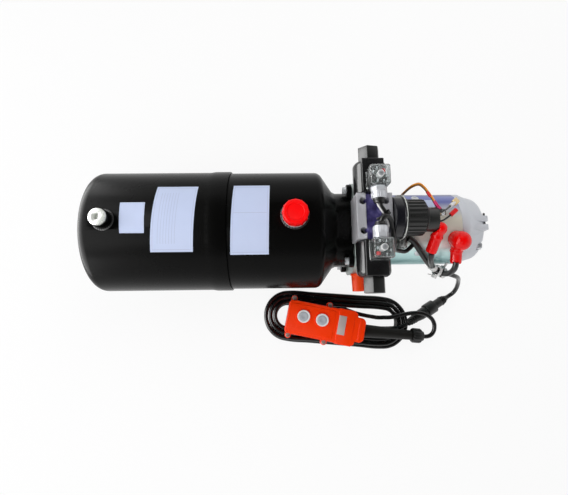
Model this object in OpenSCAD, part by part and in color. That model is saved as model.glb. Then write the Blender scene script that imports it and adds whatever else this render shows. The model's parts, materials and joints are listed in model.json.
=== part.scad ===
// Hydraulic power unit: a round steel tank, a manifold with a double-solenoid valve, a gear pump,
// a DC motor with its start relay, and a two-button hand pendant on a bundled cord.
// Millimetres. Origin at the centre of the manifold's underside, +X from tank to motor, +Z up.
// Places inside the modules are measured from the shaft axis, which lies axis_h above the origin.

/* [Tank] */
// Outer radius of the rear cup
tank_r = 90; // [86:1:92]
// Sheet thickness of both cups
tank_wall = 2.4; // [2:0.1:3]
// Length from the dome's rim to the manifold
tank_len = 380; // [360:5:420]
// Length of the belled lap where the rear cup takes the front cup
lap_len = 30; // [24:1:36]
// Outer radius of the neck
neck_r = 57; // [56:0.5:57.5]
// Depth of the dome on the closed end
dome_sag = 6; // [3:1:10]
// Filler position behind the manifold's middle
filler_x = -110; // [-130:1:-105]
// Filler offset from the tank's top line, to the rear
filler_y = 4.5; // [0:0.5:6]
// Bung position behind the manifold's middle
bung_x = -366; // [-370:1:-340]

/* [Manifold and valve] */
// Height of the shaft axis above the mounting face
axis_h = 60; // [58:1:64]
// Radius of the round block
block_r = 72; // [71:0.5:74]
// Thickness of the block along the shaft
block_t = 48; // [46:1:50]
// Mounting hole spacing along the shaft
mount_dx = 28; // [24:1:30]
// Mounting hole spacing across the shaft
mount_dy = 52; // [46:1:56]
// Mounting hole radius, the tapping size of an M8 thread
mount_hole_r = 3.4; // [3.3:0.1:3.5]
// Valve body width along the shaft
valve_w = 48; // [46:1:48]
// Valve body length along the spool
valve_len = 62; // [62:1:66]
// Valve body height
valve_h = 42; // [42:1:46]
// Radius of the solenoid coils
coil_r = 23; // [22:0.5:23]
// Spool travel each way
spool_travel = 3.5; // [2:0.5:3.5]

/* [Pump] */
// Teeth on each pump gear
gear_teeth = 12; // [11:1:12]
// Gear module
gear_m = 2.5; // [2.5:0.1:2.5]
// Gear width
gear_w = 20; // [16:1:20]

/* [Motor and relay] */
// Radius of the motor tube
motor_r = 54; // [54:0.5:55]
// Length of the motor from the manifold to the end cap's face
motor_len = 147; // [144:1:156]
// Radius of the relay's ribbed cap
relay_r = 24.9; // [24:0.1:25.2]
// Relay contact travel
relay_travel = 4; // [3:0.5:4.5]

/* [Pendant] */
// Length of the pendant's shells
pendant_len = 112; // [106:1:116]
// Width of the pendant's shells
pendant_w = 54; // [50:1:56]
// Height of the pendant's shells
pendant_h = 42; // [40:1:46]
// Button radius
button_r = 10; // [8:0.5:11]
// Button travel
button_travel = 3; // [2:0.5:3]

/* [Cord] */
// Cord diameter
cord_d = 7; // [6:0.5:7]
// Spacing of neighbouring turns in the hank
hank_step = 7.8; // [7.6:0.1:8]
// Centreline radius of the hank's innermost turn
hank_r = 20.5; // [20.5:0.5:22]
// Half the length of the hank's straight runs
hank_run = 80; // [74:1:84]

/* [Hidden] */
$fn = 64;

// Stations along the shaft, from the tank to the motor
block_x = block_t / 2;
tank_rim_x = -block_x - tank_len;
tank_tip_x = tank_rim_x - dome_sag;
tank_corner = 14;
bell_r = tank_r + 1.2;
bell_ramp = 8;
lap_x1 = tank_rim_x + 201;
lap_x0 = lap_x1 - lap_len;
front_r = bell_r - tank_wall - 0.1;
shoulder_x = -block_x - 54;
shoulder_corner = 12;
shoulder_angle = 55;
ear_t = 7;
ear_angles = [55, 125, 235, 305];
tank_bolt_r = 64.5;
spigot_r = neck_r - tank_wall - 0.2;
spigot_len = 8;
spigot_x = -block_x - spigot_len;
floor_z = -bell_r;

// Valve places, seen from the shaft axis
valve_x = -5;
valve_z0 = 58;
valve_z1 = valve_z0 + valve_h;
spool_z = valve_z0 + 20;
spool_r = 8;
valve_y = valve_len / 2;
coil_y0 = valve_y + 0.5;
coil_y1 = 80;
nut_y1 = 101;
core_y0 = 24.5;
valve_bolt = [15.5, 20];
din_x = valve_x + 2;
din_y = 47;
din_size = 26;
din_z0 = spool_z + coil_r + 0.4;
din_z1 = 131;
gland_z = 116;

// Pump places
pump_x0 = spigot_x - 34;
pump_cover_x0 = pump_x0 - 14;
gear_x1 = spigot_x - 12;
gear_x0 = pump_x0 + 0.1;
gear_pitch_r = gear_m * gear_teeth / 2;
gear_tip_r = gear_pitch_r + 0.84 * gear_m;
gear_root_r = gear_pitch_r - 1.2 * gear_m;
gear_gap = 2 * gear_pitch_r;
pump_shaft_r = 7;

// Motor and relay places
motor_x0 = block_x;
motor_tube_x0 = motor_x0 + 10;
motor_tube_x1 = motor_x0 + 108;
motor_x1 = motor_x0 + motor_len;
motor_shaft_r = 7.5;
stud_x = motor_x0 + 98;
stud_angle = 25;
relay_z = 84;
relay_x0 = motor_x0 - 4;
relay_rim_x = motor_x0 + 10;
relay_x1 = motor_x0 + 57;
relay_tip_r = 17;
relay_tip_y = -2.7;
relay_stud_1 = [-14.6, 2];
relay_stud_2 = [8, -6.5];

// Pendant and cord places
hank_at = [-37, -138, 0];
hank_turn = -5;
cord_r = cord_d / 2;
hank_z1 = floor_z + cord_r;
hank_z2 = hank_z1 + hank_step;
hank_turns = 2.5;
hank_rings = 24;
pendant_at = [-65, -142, hank_z2 + cord_r + 0.3];
pendant_turn = -12;
pendant_seam = pendant_h * 0.48;
pendant_nose = 14;
button_u = [-30, 0];
button_v = 4;
lug_u = [-49, 10];
lug_v = pendant_w / 2 + 3;
sleeve_len = 84;
sleeve_turn = 6;
sleeve_drop = 5;
nut_len = 19;

// Hand-chosen routes, as places seen from the shaft axis
heat_shrink_route = [
  [50, -24, 60.5], [57, -27.5, 58], [64, -34, 53.5], [72, -42, 46], [80, -49, 37], [88, -54.5, 27],
  [96, -58.5, 17], [104, -61.5, 9], [112, -64, 4], [120, -66.8, 1.5], [127, -69, 0]
];
control_route = [
  [127, -69, 0], [134, -71.2, -1.5], [144.5, -73, -10], [156, -74.5, -28], [166, -77, -50], [171, -83, -65],
  [172, -90, -76], [169.5, -96, -83], [163.5, -100.4, -85.1], [157, -104, -83.7]
];
rear_lead_route = [
  [-3, 26, 116], [-3, 16, 116], [-1, 9, 115.5], [3, 3.5, 114], [7.5, -2, 111.5], [11.5, -9, 109.5],
  [13.6, -17, 108], [15, -25, 106.5], [17.5, -33, 102], [20, -39, 94], [22.5, -41.5, 84],
  [26, -42, 73], [31, -41.5, 64.5],
  [38, -42, 59.5], [46, -42, 56.5], [53, -37.5, 54.5], [58, -32.5, 54.8]
];
front_lead_route = [
  [-3, -26, 116], [-3, -16, 116], [-1.5, -10.5, 118], [2, -6.5, 118.5], [6.5, -5.5, 117], [10.5, -8.5, 114],
  [12.8, -14, 110.5], [13.8, -19, 107.4]
];
orange_route = [
  [48, 42, 48], [48, 42, 56], [49, 43, 64], [51.5, 45, 72], [56, 47, 79], [62, 47.5, 83], [67, 43, 85],
  [71.5, 36, 86.5], [75.5, 28.5, 88], [78.5, 21, 90], [81.5, 14, 92], [84.5, 9, 93]
];
spare_route = [
  [86, 5.5, 92.5], [92, 8.5, 90], [99, 13, 85], [106, 18, 79], [112.5, 22.5, 73.5]
];
connector_at = [157, -104, -83.7];
connector_len = 86.7;
connector_turn = 209.6;
connector_lift = 10.1;
// The hank's two free ends, along, across and up, in the hank's own frame
hank_entry = [
  [119.8, 2.1, -68.4], [113.3, -2.2, -67.3], [104, -6, -68.2], [93, -8, -70.6],
  [81, -9.2, -73.4], [69, -10.2, -76.4],
  [57, -11.2, -79], [45, -12.6, -79.8], [33, -14.6, -79.9], [20, -17.2, -79.9]
];
hank_exit = [
  [12, 19.4, -87.5], [24, 16, -86.3], [36, 12.6, -83], [48, 10.4, -79], [60, 9, -75],
  [71, 8.2, -71.6], [80, 9, -70]
];
lead_points = [
  [80, 9, -70], [89, 9.8, -68.4], [102, 13.2, -65.6], [115, 17.4, -63], [127, 20, -60.5], [137, 20.6, -59],
  [147, 18.9, -58.8], [155.5, 14.6, -59.8], [161.2, 8, -61.4], [163.4, 0, -63],
  [162.3, -8, -64.3], [158, -14, -65.2],
  [151.5, -16.8, -65.4], [144.5, -16.8, -64.9], [139.5, -16.7, -64.5]
];

// General helpers
module on_axis() translate([0, 0, axis_h]) children();
module rod_x(r, x0, x1) translate([x0, 0, 0]) rotate([0, 90, 0]) cylinder(r = r, h = x1 - x0);
module rod_y(r, y0, y1) translate([0, y0, 0]) rotate([-90, 0, 0]) cylinder(r = r, h = y1 - y0);
module hex_x(af, x0, x1) translate([x0, 0, 0]) rotate([0, 90, 0])
  cylinder(d = af / cos(30), h = x1 - x0, $fn = 6);
module hex_y(af, y0, y1) translate([0, y0, 0]) rotate([-90, 0, 0])
  cylinder(d = af / cos(30), h = y1 - y0, $fn = 6);
module block(x0, x1, y0, y1, z0, z1) translate([x0, y0, z0]) cube([x1 - x0, y1 - y0, z1 - z0]);
// Turns a list of [radius, x] points about the shaft axis
module turned_x(points) rotate([0, 90, 0]) rotate_extrude($fn = 96) polygon(points);
module both_sides() {
  children();
  mirror([0, 1, 0]) children();
}
module at_angle(angle, r) rotate([angle, 0, 0]) translate([0, 0, r]) children();
module rounded_plate(l, w, r, h) linear_extrude(height = h) {
  square([l - 2 * r, w], center = true);
  square([l, w - 2 * r], center = true);
  for (sx = [-1, 1], sy = [-1, 1]) translate([sx * (l / 2 - r), sy * (w / 2 - r)]) circle(r = r, $fn = 32);
}
function reversed(list) = [for (i = [len(list) - 1:-1:0]) list[i]];
function arc(c, r, a0, a1, n) =
  [for (i = [0:n]) c + r * [cos(a0 + (a1 - a0) * i / n), sin(a0 + (a1 - a0) * i / n)]];
function unit(v) = v / norm(v);
function heading(p, i) = unit(p[min(i + 1, len(p) - 1)] - p[max(i - 1, 0)]);
// One closed tube along the points of a route
module tube(route, r, sides = 8) {
  n = len(route);
  rings = [
    for (i = [0:n - 1])
      let (t = heading(route, i), s = unit(cross(t, [0, 0.02, 1])), u = cross(s, t))
        for (k = [0:sides - 1]) route[i] + r * (cos(360 * k / sides) * s + sin(360 * k / sides) * u)
  ];
  walls = [
    for (i = [0:n - 2], k = [0:sides - 1])
      let (a = i * sides + k, b = i * sides + (k + 1) % sides)
        each [[a, b, b + sides], [a, b + sides, a + sides]]
  ];
  ends = [
    for (k = [1:sides - 2]) each
      [[0, k + 1, k], [(n - 1) * sides, (n - 1) * sides + k, (n - 1) * sides + k + 1]]
  ];
  polyhedron(points = rings, faces = concat(walls, ends));
}

// Tank
function cup_line(d) = concat(
  [
    for (i = [0:6])
      let (r = (tank_r - tank_corner) * i / 6)
        [r, tank_tip_x + d + dome_sag * pow(r / (tank_r - tank_corner), 2)]
  ],
  [for (p = arc([tank_r - tank_corner, tank_rim_x + tank_corner], tank_corner - d, 280, 360, 8)) p],
  [[tank_r - d, lap_x0], [bell_r - d, lap_x0 + bell_ramp], [bell_r - d, lap_x1]]
);
module tank_rear_shell() color("#141414") on_axis() difference() {
  turned_x(concat(cup_line(0), reversed(cup_line(tank_wall))));
  translate([bung_x, 0, 0]) cylinder(r = 12.6, h = tank_r + 5);
}
function front_line(d) = concat(
  [[front_r - d, lap_x0 + bell_ramp + 2], [front_r - d, shoulder_x]],
  arc([front_r - shoulder_corner, shoulder_x], shoulder_corner - d, 8, shoulder_angle, 6),
  [
    [neck_r + 3 - 0.8 * d, -block_x - 27.8 - 0.6 * d],
    [neck_r - d, -block_x - 22 - 0.4 * d],
    [neck_r - d, -block_x - 0.05]
  ]
);
module tank_front_shell() color("#141414") on_axis() difference() {
  union() {
    turned_x(concat(front_line(0), reversed(front_line(tank_wall))));
    for (a = ear_angles) at_angle(a, 0) {
      block(-block_x - ear_t, -block_x - 0.05, -9, 9, neck_r - 1, tank_bolt_r);
      translate([0, 0, tank_bolt_r]) rod_x(9, -block_x - ear_t, -block_x - 0.05);
    }
  }
  translate([filler_x, filler_y, 0]) cylinder(r = 17.6, h = tank_r + 5);
  for (a = ear_angles) at_angle(a, tank_bolt_r) rod_x(3.3, -block_x - ear_t - 1, -block_x + 1);
}
module port_bung() color("#161616") on_axis() translate([bung_x, 0, 0]) difference() {
  translate([0, 0, tank_r - 6]) cylinder(r = 12.5, h = 20);
  cylinder(r = 7, h = tank_r + 20);
}
module port_bung_plug() color("#cfcfca") on_axis() translate([bung_x, 0, tank_r + 14.05]) difference() {
  union() {
    cylinder(r = 11.4, h = 3.4);
    translate([0, 0, 3.4]) cylinder(r1 = 11.4, r2 = 10.4, h = 1);
    translate([0, 0, -14]) cylinder(r = 6.9, h = 15);
  }
  translate([0, 0, -1]) cylinder(d = 8 / cos(30), h = 10, $fn = 6);
}
module filler_base() color("#c9cacb") on_axis() translate([filler_x, filler_y, 0]) difference() {
  union() {
    translate([0, 0, front_r - 6]) cylinder(r = 17.5, h = 8.5);
    translate([0, 0, front_r - 1]) cylinder(r = 12.5, h = 13);
  }
  translate([0, 0, front_r - 10]) cylinder(r = 9.5, h = 60);
}
module filler_cap() color("#c8141a") on_axis() translate([filler_x, filler_y, front_r]) difference() {
  union() {
    translate([0, 0, 3.5]) cylinder(r = 17.3, h = 13.5);
    translate([0, 0, 17]) cylinder(r1 = 17.3, r2 = 15.4, h = 2);
    for (k = [0:11]) rotate([0, 0, 30 * k]) translate([16.9, 0, 5]) cylinder(r = 1.2, h = 11);
  }
  translate([0, 0, 2.5]) cylinder(r = 13, h = 12.5);
  translate([0, 0, 18.2]) cylinder(r = 11.4, h = 4);
}
module neck_seal() color("#202020") on_axis() rotate([0, 90, 0]) translate([0, 0, -block_x - 4])
  rotate_extrude() translate([spigot_r - 1.0, 0]) circle(r = 1.1, $fn = 24);
module tank_bolts() color("#b8bab8") on_axis() for (a = ear_angles) at_angle(a, tank_bolt_r) {
  rod_x(2.9, -block_x - ear_t, -block_x + 14);
  hex_x(10, -block_x - ear_t - 5.5, -block_x - ear_t - 1.5);
  rod_x(6, -block_x - ear_t - 1.5, -block_x - ear_t);
}

// Manifold
module manifold_block() color("#b9bcc0") on_axis() difference() {
  union() {
    intersection() {
      rod_x(block_r, -block_x, block_x);
      block(-block_x, block_x, -block_r + 4, block_r - 4, -axis_h, valve_z0 - 6);
    }
    block(-block_x, relay_x0 - 1, -valve_y - 0.5, valve_y + 0.5, 0, valve_z0);
    rod_x(spigot_r, spigot_x, -block_x);
  }
  turned_x([
    [spigot_r - 2.3, -block_x - 5.4], [60, -block_x - 5.4],
    [60, -block_x - 2.6], [spigot_r - 2.3, -block_x - 2.6]
  ]);
  rod_x(17, spigot_x - 1, block_x + 1);
  for (x = [-11.5, 11.5]) translate([x, 0, 0]) rod_y(8.3, -block_r, -block_r + 28);
  rod_y(9, 36, block_r);
  for (sx = [-1, 1], sy = [-1, 1]) {
    translate([valve_x + sx * valve_bolt[0], sy * valve_bolt[1], valve_z0 - 14]) cylinder(r = 2.55, h = 20);
    translate([sx * mount_dx / 2, sy * mount_dy / 2, -axis_h - 1]) cylinder(r = mount_hole_r, h = 19);
  }
  for (a = ear_angles) at_angle(a, tank_bolt_r) rod_x(2.95, -block_x - 1, -block_x + 15);
  for (a = [45, 225]) at_angle(a, 43.5) rod_x(2.95, block_x - 13, block_x + 1);
}
module relief_valve() color("#8f9296") on_axis() {
  rod_y(8.9, 40, block_r - 4);
  hex_y(22, block_r - 4, block_r + 8);
  rod_y(5, block_r + 8, block_r + 22);
  hex_y(13, block_r + 11, block_r + 16);
}
module port_plugs() color("#f0561c") on_axis() for (x = [-11.5, 11.5]) translate([x, 0, 0]) difference() {
  union() {
    rod_y(8.2, -block_r + 3, -block_r + 24);
    rod_y(11, -block_r + 1.2, -block_r + 3.9);
    translate([0, -block_r + 1.2, 0]) rotate([90, 0, 0]) cylinder(r1 = 9.8, r2 = 8.8, h = 24);
  }
  rod_y(6.6, -block_r - 24, -block_r + 18);
}

// Directional valve
module valve_body() color("#a9abb0") on_axis() translate([valve_x, 0, 0]) difference() {
  block(-valve_w / 2, valve_w / 2, -valve_y, valve_y, valve_z0 + 0.05, valve_z1);
  block(-11.5, 10, -valve_y - 1, valve_y + 1, valve_z1 - 5, valve_z1 + 1);
  translate([0, 0, spool_z]) rod_y(spool_r, -valve_y - 1, valve_y + 1);
  both_sides() translate([0, 0, spool_z]) rod_y(10.1, core_y0, valve_y + 1);
  for (sx = [-1, 1], sy = [-1, 1]) translate([sx * valve_bolt[0], sy * valve_bolt[1], 0]) {
    translate([0, 0, valve_z0 - 1]) cylinder(r = 2.8, h = valve_h + 2);
    translate([0, 0, valve_z1 - 26]) cylinder(r = 4.6, h = 30);
  }
}
module valve_bolts() color("#3a3a3c") on_axis() translate([valve_x, 0, 0])
  for (sx = [-1, 1], sy = [-1, 1]) translate([sx * valve_bolt[0], sy * valve_bolt[1], 0]) difference() {
    union() {
      translate([0, 0, valve_z0 - 12]) cylinder(r = 2.5, h = valve_h - 14);
      translate([0, 0, valve_z1 - 26]) cylinder(r = 4.3, h = 5);
    }
    translate([0, 0, valve_z1 - 23.5]) cylinder(d = 4 / cos(30), h = 5, $fn = 6);
  }
module valve_spool() color("#d5d7d9") on_axis() translate([valve_x, 0, spool_z]) difference() {
  rod_y(spool_r - 0.05, -20, 20);
  for (y = [-11.5, 0, 11.5]) difference() {
    rod_y(spool_r + 1, y - 2.5, y + 2.5);
    rod_y(5, y - 3, y + 3);
  }
}
module solenoid_plungers() color("#9a9da0") on_axis() translate([valve_x, 0, spool_z]) both_sides() {
  rod_y(2.5, 20, 36);
  rod_y(6.9, 36, 62);
}
module core_tubes() color("#c2c4c6") on_axis() translate([valve_x, 0, spool_z]) both_sides() difference() {
  union() {
    rod_y(10, core_y0, coil_y1);
    rod_y(7, coil_y1, nut_y1 - 4);
  }
  rod_y(7, core_y0 - 1, 28);
  rod_y(3, 27, 32);
  rod_y(7, 31, 70);
}
module centring_springs() color("#8b8d90") on_axis()
  translate([valve_x, 0, spool_z]) both_sides() difference() {
  rod_y(6.6, 20.1, 27.9);
  rod_y(4.4, 19, 29);
}
module coil_half() difference() {
  union() {
    translate([0, coil_y0, 0]) rotate([-90, 0, 0]) rotate_extrude($fn = 64) polygon(concat(
      [[0, 0], [coil_r - 3, 0]],
      arc([coil_r - 3, 3], 3, 285, 360, 4),
      arc([coil_r - 8, coil_y1 - coil_y0 - 8], 8, 0, 90, 6),
      [[0, coil_y1 - coil_y0]]
    ));
    block(-15, 15, coil_y0 + 0.5, coil_y1 - 0.5, 0, coil_r);
  }
  rod_y(10.3, coil_y0 - 1, coil_y1 + 1);
  translate([din_x - valve_x, din_y, coil_r - 8]) cylinder(r = 1.7, h = 10);
}
module solenoid_coils() color("#1b1b1d") on_axis() translate([valve_x, 0, spool_z]) both_sides() coil_half();
module coil_nuts() color("#232325") on_axis() translate([valve_x, 0, spool_z]) both_sides() difference() {
  rotate([0, 12, 0]) hex_y(27, coil_y1 + 0.1, nut_y1);
  rod_y(7.1, coil_y1 - 1, nut_y1 - 3.5);
}
module din_housings() color("#d9dde0", 0.5) on_axis() both_sides() difference() {
  union() {
    translate([din_x, din_y, din_z0]) rounded_plate(din_size, din_size, 3, din_z1 - din_z0);
    translate([din_x, 0, gland_z]) rod_y(8, din_y - din_size / 2 - 4, din_y);
  }
  translate([din_x, din_y, din_z0 - 1]) cylinder(r = 1.8, h = 60);
  translate([din_x, 0, gland_z]) rod_y(4, din_y - din_size / 2 - 5, din_y - 8);
}
module din_glands() color("#cfd2d4") on_axis() both_sides() translate([din_x, 0, gland_z]) difference() {
  union() {
    hex_y(18, 27.5, 33.9);
    rod_y(9.3, 18, 27.5);
  }
  rod_y(8.05, 29.8, 34);
  rod_y(3.6, 17, 34);
}
module valve_leads() color("#161616") on_axis() {
  tube(rear_lead_route, 3);
  tube(front_lead_route, 3);
}

// Gear pump
function roll(r) = sqrt(max(0, pow(r / (gear_pitch_r * cos(25)), 2) - 1));
function involute(r) = roll(r) * 180 / PI - atan(roll(r));
function half_tooth(r) = 90 / gear_teeth - 1.1 + involute(gear_pitch_r) - involute(r);
function polar(r, a) = r * [cos(a), sin(a)];
flank_r = [for (i = [0:4]) gear_root_r + (gear_tip_r - gear_root_r) * i / 4];
gear_outline = [
  for (k = [0:gear_teeth - 1])
    let (a = 360 * k / gear_teeth)
      each concat(
        [for (r = flank_r) polar(r, a - half_tooth(r))],
        reversed([for (r = flank_r) polar(r, a + half_tooth(r))])
      )
];
module gear(turn) translate([gear_x1 - gear_w, 0, 0]) rotate([0, 90, 0]) rotate([0, 0, turn])
  linear_extrude(height = gear_w - 0.1) polygon(gear_outline);
module pump_outline(r) {
  translate([0, 0]) circle(r = r);
  translate([gear_gap, 0]) circle(r = r);
}
module pump_plate(x0, x1, r) translate([x0, 0, 0]) rotate([0, 90, 0]) linear_extrude(height = x1 - x0) {
  pump_outline(r);
  translate([0, -r]) square([gear_gap, 2 * r]);
}
module pump_body() color("#aeb1b4") on_axis() difference() {
  pump_plate(pump_x0 + 0.05, spigot_x - 0.05, gear_tip_r + 6);
  translate([pump_x0, 0, 0]) rotate([0, 90, 0]) linear_extrude(height = gear_x1 - pump_x0) {
    pump_outline(gear_tip_r + 0.2);
    translate([gear_gap / 2, 0]) square([10, 24], center = true);
  }
  rod_x(pump_shaft_r + 0.05, pump_x0 - 1, spigot_x + 1);
  translate([0, 0, -gear_gap]) rod_x(pump_shaft_r + 0.05, pump_x0 - 1, spigot_x - 4);
}
module pump_cover() color("#a3a6a9") on_axis() difference() {
  pump_plate(pump_cover_x0, pump_x0, gear_tip_r + 6);
  for (z = [0, -gear_gap]) translate([0, 0, z]) rod_x(pump_shaft_r + 0.05, pump_cover_x0 + 3, pump_x0 + 1);
  translate([0, -12, -gear_gap / 2]) rod_x(5.05, pump_cover_x0 - 1, pump_x0 + 1);
}
module drive_gear() color("#c4c6c8") on_axis() {
  gear(0);
  rod_x(pump_shaft_r, pump_cover_x0 + 3.5, -2);
}
module driven_gear() color("#c4c6c8") on_axis() translate([0, 0, -gear_gap]) {
  gear(180 / gear_teeth);
  rod_x(pump_shaft_r, pump_cover_x0 + 3.5, spigot_x - 4.5);
}
module shaft_coupling() color("#77797c") on_axis() difference() {
  rod_x(14, -16, 16);
  rod_x(pump_shaft_r + 0.02, -17, -1.9);
  rod_x(motor_shaft_r + 0.02, 1.9, 17);
  rod_x(2, -5, 5);
}
module suction_strainer() color("#8d9093") on_axis() translate([0, -12, -gear_gap / 2]) {
  rod_x(5, pump_cover_x0 - 20, pump_cover_x0 + 8);
  translate([pump_cover_x0 - 20, 0, 0]) sphere(r = 5, $fn = 32);
  translate([pump_cover_x0 - 20, 0, -42]) cylinder(r = 5, h = 42);
  translate([pump_cover_x0 - 20, 0, -64]) cylinder(r = 20, h = 22);
}

// Motor
module motor_tube() color("#aab4b4") on_axis() difference() {
  rod_x(motor_r, motor_tube_x0, motor_tube_x1);
  rod_x(motor_r - 6, motor_tube_x0 - 1, motor_tube_x1 + 1);
  at_angle(stud_angle, 0) translate([stud_x, 0, 40]) cylinder(r = 6.2, h = 30);
  for (a = [51, 129, 231, 309]) at_angle(a, motor_r - 2.6)
    translate([motor_tube_x0 + 38.5, 0, 0]) cylinder(r1 = 4, r2 = 6.6, h = 2.8);
}
module motor_flange() color("#9fa4a6") on_axis() difference() {
  rod_x(motor_r, motor_x0 + 0.05, motor_tube_x0 - 0.05);
  rod_x(9, motor_x0 - 1, motor_tube_x0);
  rod_x(17.55, motor_x0 + 1, motor_tube_x0 + 1);
  for (a = [45, 225]) at_angle(a, 43.5) rod_x(3.3, motor_x0 - 1, motor_tube_x0 + 1);
}
module motor_end_cap() color("#b6b8ba") on_axis() difference() {
  union() {
    turned_x(concat(
      [[0, motor_x1], [34, motor_x1]],
      reversed(arc([34, motor_x1 - 14], 14, 10, 90, 8)),
      [[motor_r - 3, motor_tube_x1 + 16], [motor_r, motor_tube_x1 + 10], [motor_r, motor_tube_x1 + 0.05]],
      [[motor_r - 6, motor_tube_x1 + 0.05], [motor_r - 9, motor_tube_x1 + 18],
      [32, motor_x1 - 5], [0, motor_x1 - 5]]
    ));
    rod_x(20, motor_x1 - 18, motor_x1 - 4);
    for (y = [-10.5, 2]) block(motor_x1 - 21, motor_x1 + 1, y, y + 8.5, 30, motor_r - 5);
  }
  rod_x(16.05, motor_x1 - 19, motor_x1 - 8);
  turned_x([
    [20, motor_tube_x1], [motor_r - 6.5, motor_tube_x1], [motor_r - 9.5, motor_tube_x1 + 18],
    [32, motor_x1 - 6], [20, motor_x1 - 6]
  ]);
  for (a = [45, 225]) at_angle(a, 43.5) {
    rod_x(3.3, motor_tube_x1 - 1, motor_x1 + 1);
    rod_x(6.2, motor_x1 - 10, motor_x1 + 6);
  }
}
module pole_magnets() color("#3d3d40") on_axis() for (k = [0:3]) rotate([90 * k + 57, 0, 0]) rotate([0, 90, 0])
  translate([0, 0, motor_tube_x0 + 16]) rotate_extrude(angle = 66, $fn = 96)
    translate([40, 0]) square([7.8, 60]);
module motor_shaft() color("#c9cbcd") on_axis() rod_x(motor_shaft_r, 2.2, motor_x1 - 10);
module armature_core() color("#6d5a48") on_axis() difference() {
  union() {
    rod_x(38, motor_tube_x0 + 14, motor_tube_x0 + 78);
    rod_x(31, motor_tube_x0 + 7, motor_tube_x0 + 85);
  }
  rod_x(motor_shaft_r + 0.02, motor_tube_x0, motor_tube_x0 + 90);
  for (k = [0:13]) rotate([k * 360 / 14, 0, 0])
    block(motor_tube_x0 + 10, motor_tube_x0 + 82, -1.5, 1.5, 32, 40);
}
module commutator() color("#b87333") on_axis() difference() {
  rod_x(19, motor_tube_x0 + 88, motor_tube_x0 + 108);
  rod_x(motor_shaft_r + 0.02, motor_tube_x0 + 80, motor_tube_x0 + 110);
  for (k = [0:13]) rotate([k * 360 / 14, 0, 0])
    block(motor_tube_x0 + 87, motor_tube_x0 + 109, -0.4, 0.4, 17.5, 20);
}
module brush_set() color("#4a4440") on_axis() difference() {
  union() {
    rod_x(motor_r - 9.7, motor_tube_x1 + 7, motor_tube_x1 + 10);
    for (k = [0:3]) rotate([90 * k, 0, 0]) block(motor_tube_x1 - 6, motor_tube_x1 + 7, -5, 5, 19.4, 34);
  }
  rod_x(19.4, motor_tube_x1 - 7, motor_tube_x1 + 11);
  for (a = [45, 225]) at_angle(a, 43.5) rod_x(3.3, motor_tube_x1, motor_tube_x1 + 12);
}
module bearings() color("#d0d2d4") on_axis() {
  difference() {
    rod_x(17.5, motor_x0 + 1.05, motor_tube_x0);
    rod_x(motor_shaft_r + 0.05, motor_x0, motor_tube_x0 + 1);
  }
  difference() {
    rod_x(16, motor_x1 - 18, motor_x1 - 8.05);
    rod_x(motor_shaft_r + 0.05, motor_x1 - 19, motor_x1 - 8);
  }
}
module through_bolts() color("#9c9fa2") on_axis() for (a = [45, 225]) at_angle(a, 43.5) {
  rod_x(2.9, block_x - 12, motor_x1 - 9);
  hex_x(10, motor_x1 - 9.95, motor_x1 - 4);
}
module terminal_studs() color("#c7a45a") on_axis() {
  rotate([stud_angle, 0, 0]) translate([stud_x, 0, 0]) {
    translate([0, 0, motor_r - 10]) cylinder(r = 4, h = 30);
    translate([0, 0, motor_r - 7]) cylinder(r = 6, h = 8.5);
    translate([0, 0, motor_r + 4]) cylinder(d = 13 / cos(30), h = 6, $fn = 6);
  }
  for (s = [relay_stud_1, relay_stud_2]) translate([0, s[0], relay_z + s[1]]) {
    rod_x(4, relay_x1 - 15, relay_x1 + 10);
    rod_x(4.3, relay_x1 - 18, relay_x1 - 15);
    hex_x(10, relay_x1 + 0.5, relay_x1 + 5);
  }
}

// Start relay
module relay_can() color("#17181a") on_axis() translate([0, 0, relay_z]) difference() {
  union() {
    rod_x(28.5, relay_x0, relay_rim_x - 2.5);
    rod_x(29.5, relay_rim_x - 2.5, relay_rim_x);
  }
  rod_x(27, relay_x0 + 1.5, relay_rim_x + 1);
}
module relay_cap() color("#1c1c1c") on_axis() translate([0, 0, relay_z]) difference() {
  union() {
    rod_x(relay_r - 1.4, relay_rim_x + 0.05, relay_x1 - 18.5);
    translate([relay_x1 - 18.6, 0, 0]) rotate([0, 90, 0])
      cylinder(r1 = relay_r - 1.4, r2 = relay_tip_r + 0.6, h = 4.6);
    translate([0, relay_tip_y, 0]) rod_x(relay_tip_r, relay_x1 - 16, relay_x1);
    rod_x(28.2, relay_rim_x + 0.05, relay_rim_x + 3);
    block(relay_x1 - 1, relay_x1 + 6, 4, 10, 7.5, 10.5);
    for (k = [0:23]) rotate([15 * k, 0, 0])
      block(relay_rim_x + 1, relay_x1 - 19, -1.5, 1.5, relay_r - 4, relay_r);
  }
  rod_x(relay_r - 3.4, relay_rim_x - 1, relay_x1 - 18);
  for (s = [relay_stud_1, relay_stud_2]) translate([0, s[0], s[1]]) {
    rod_x(4.6, relay_x1 - 19, relay_x1 - 14.8);
    rod_x(4.05, relay_x1 - 20, relay_x1 + 1);
  }
}
module relay_coil() color("#7a4a2a") on_axis() translate([0, 0, relay_z]) difference() {
  rod_x(26.5, relay_x0 + 2, relay_rim_x - 0.2);
  rod_x(10, relay_x0 + 1, relay_rim_x + 1);
}
module relay_plunger() color("#b7babd") on_axis() translate([0, 0, relay_z]) {
  rod_x(9.6, relay_x0 + 2.2, relay_rim_x + 4);
  rod_x(3, relay_rim_x + 4, relay_x1 - 25);
  rod_x(19, relay_x1 - 25, relay_x1 - 22.6);
}
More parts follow.
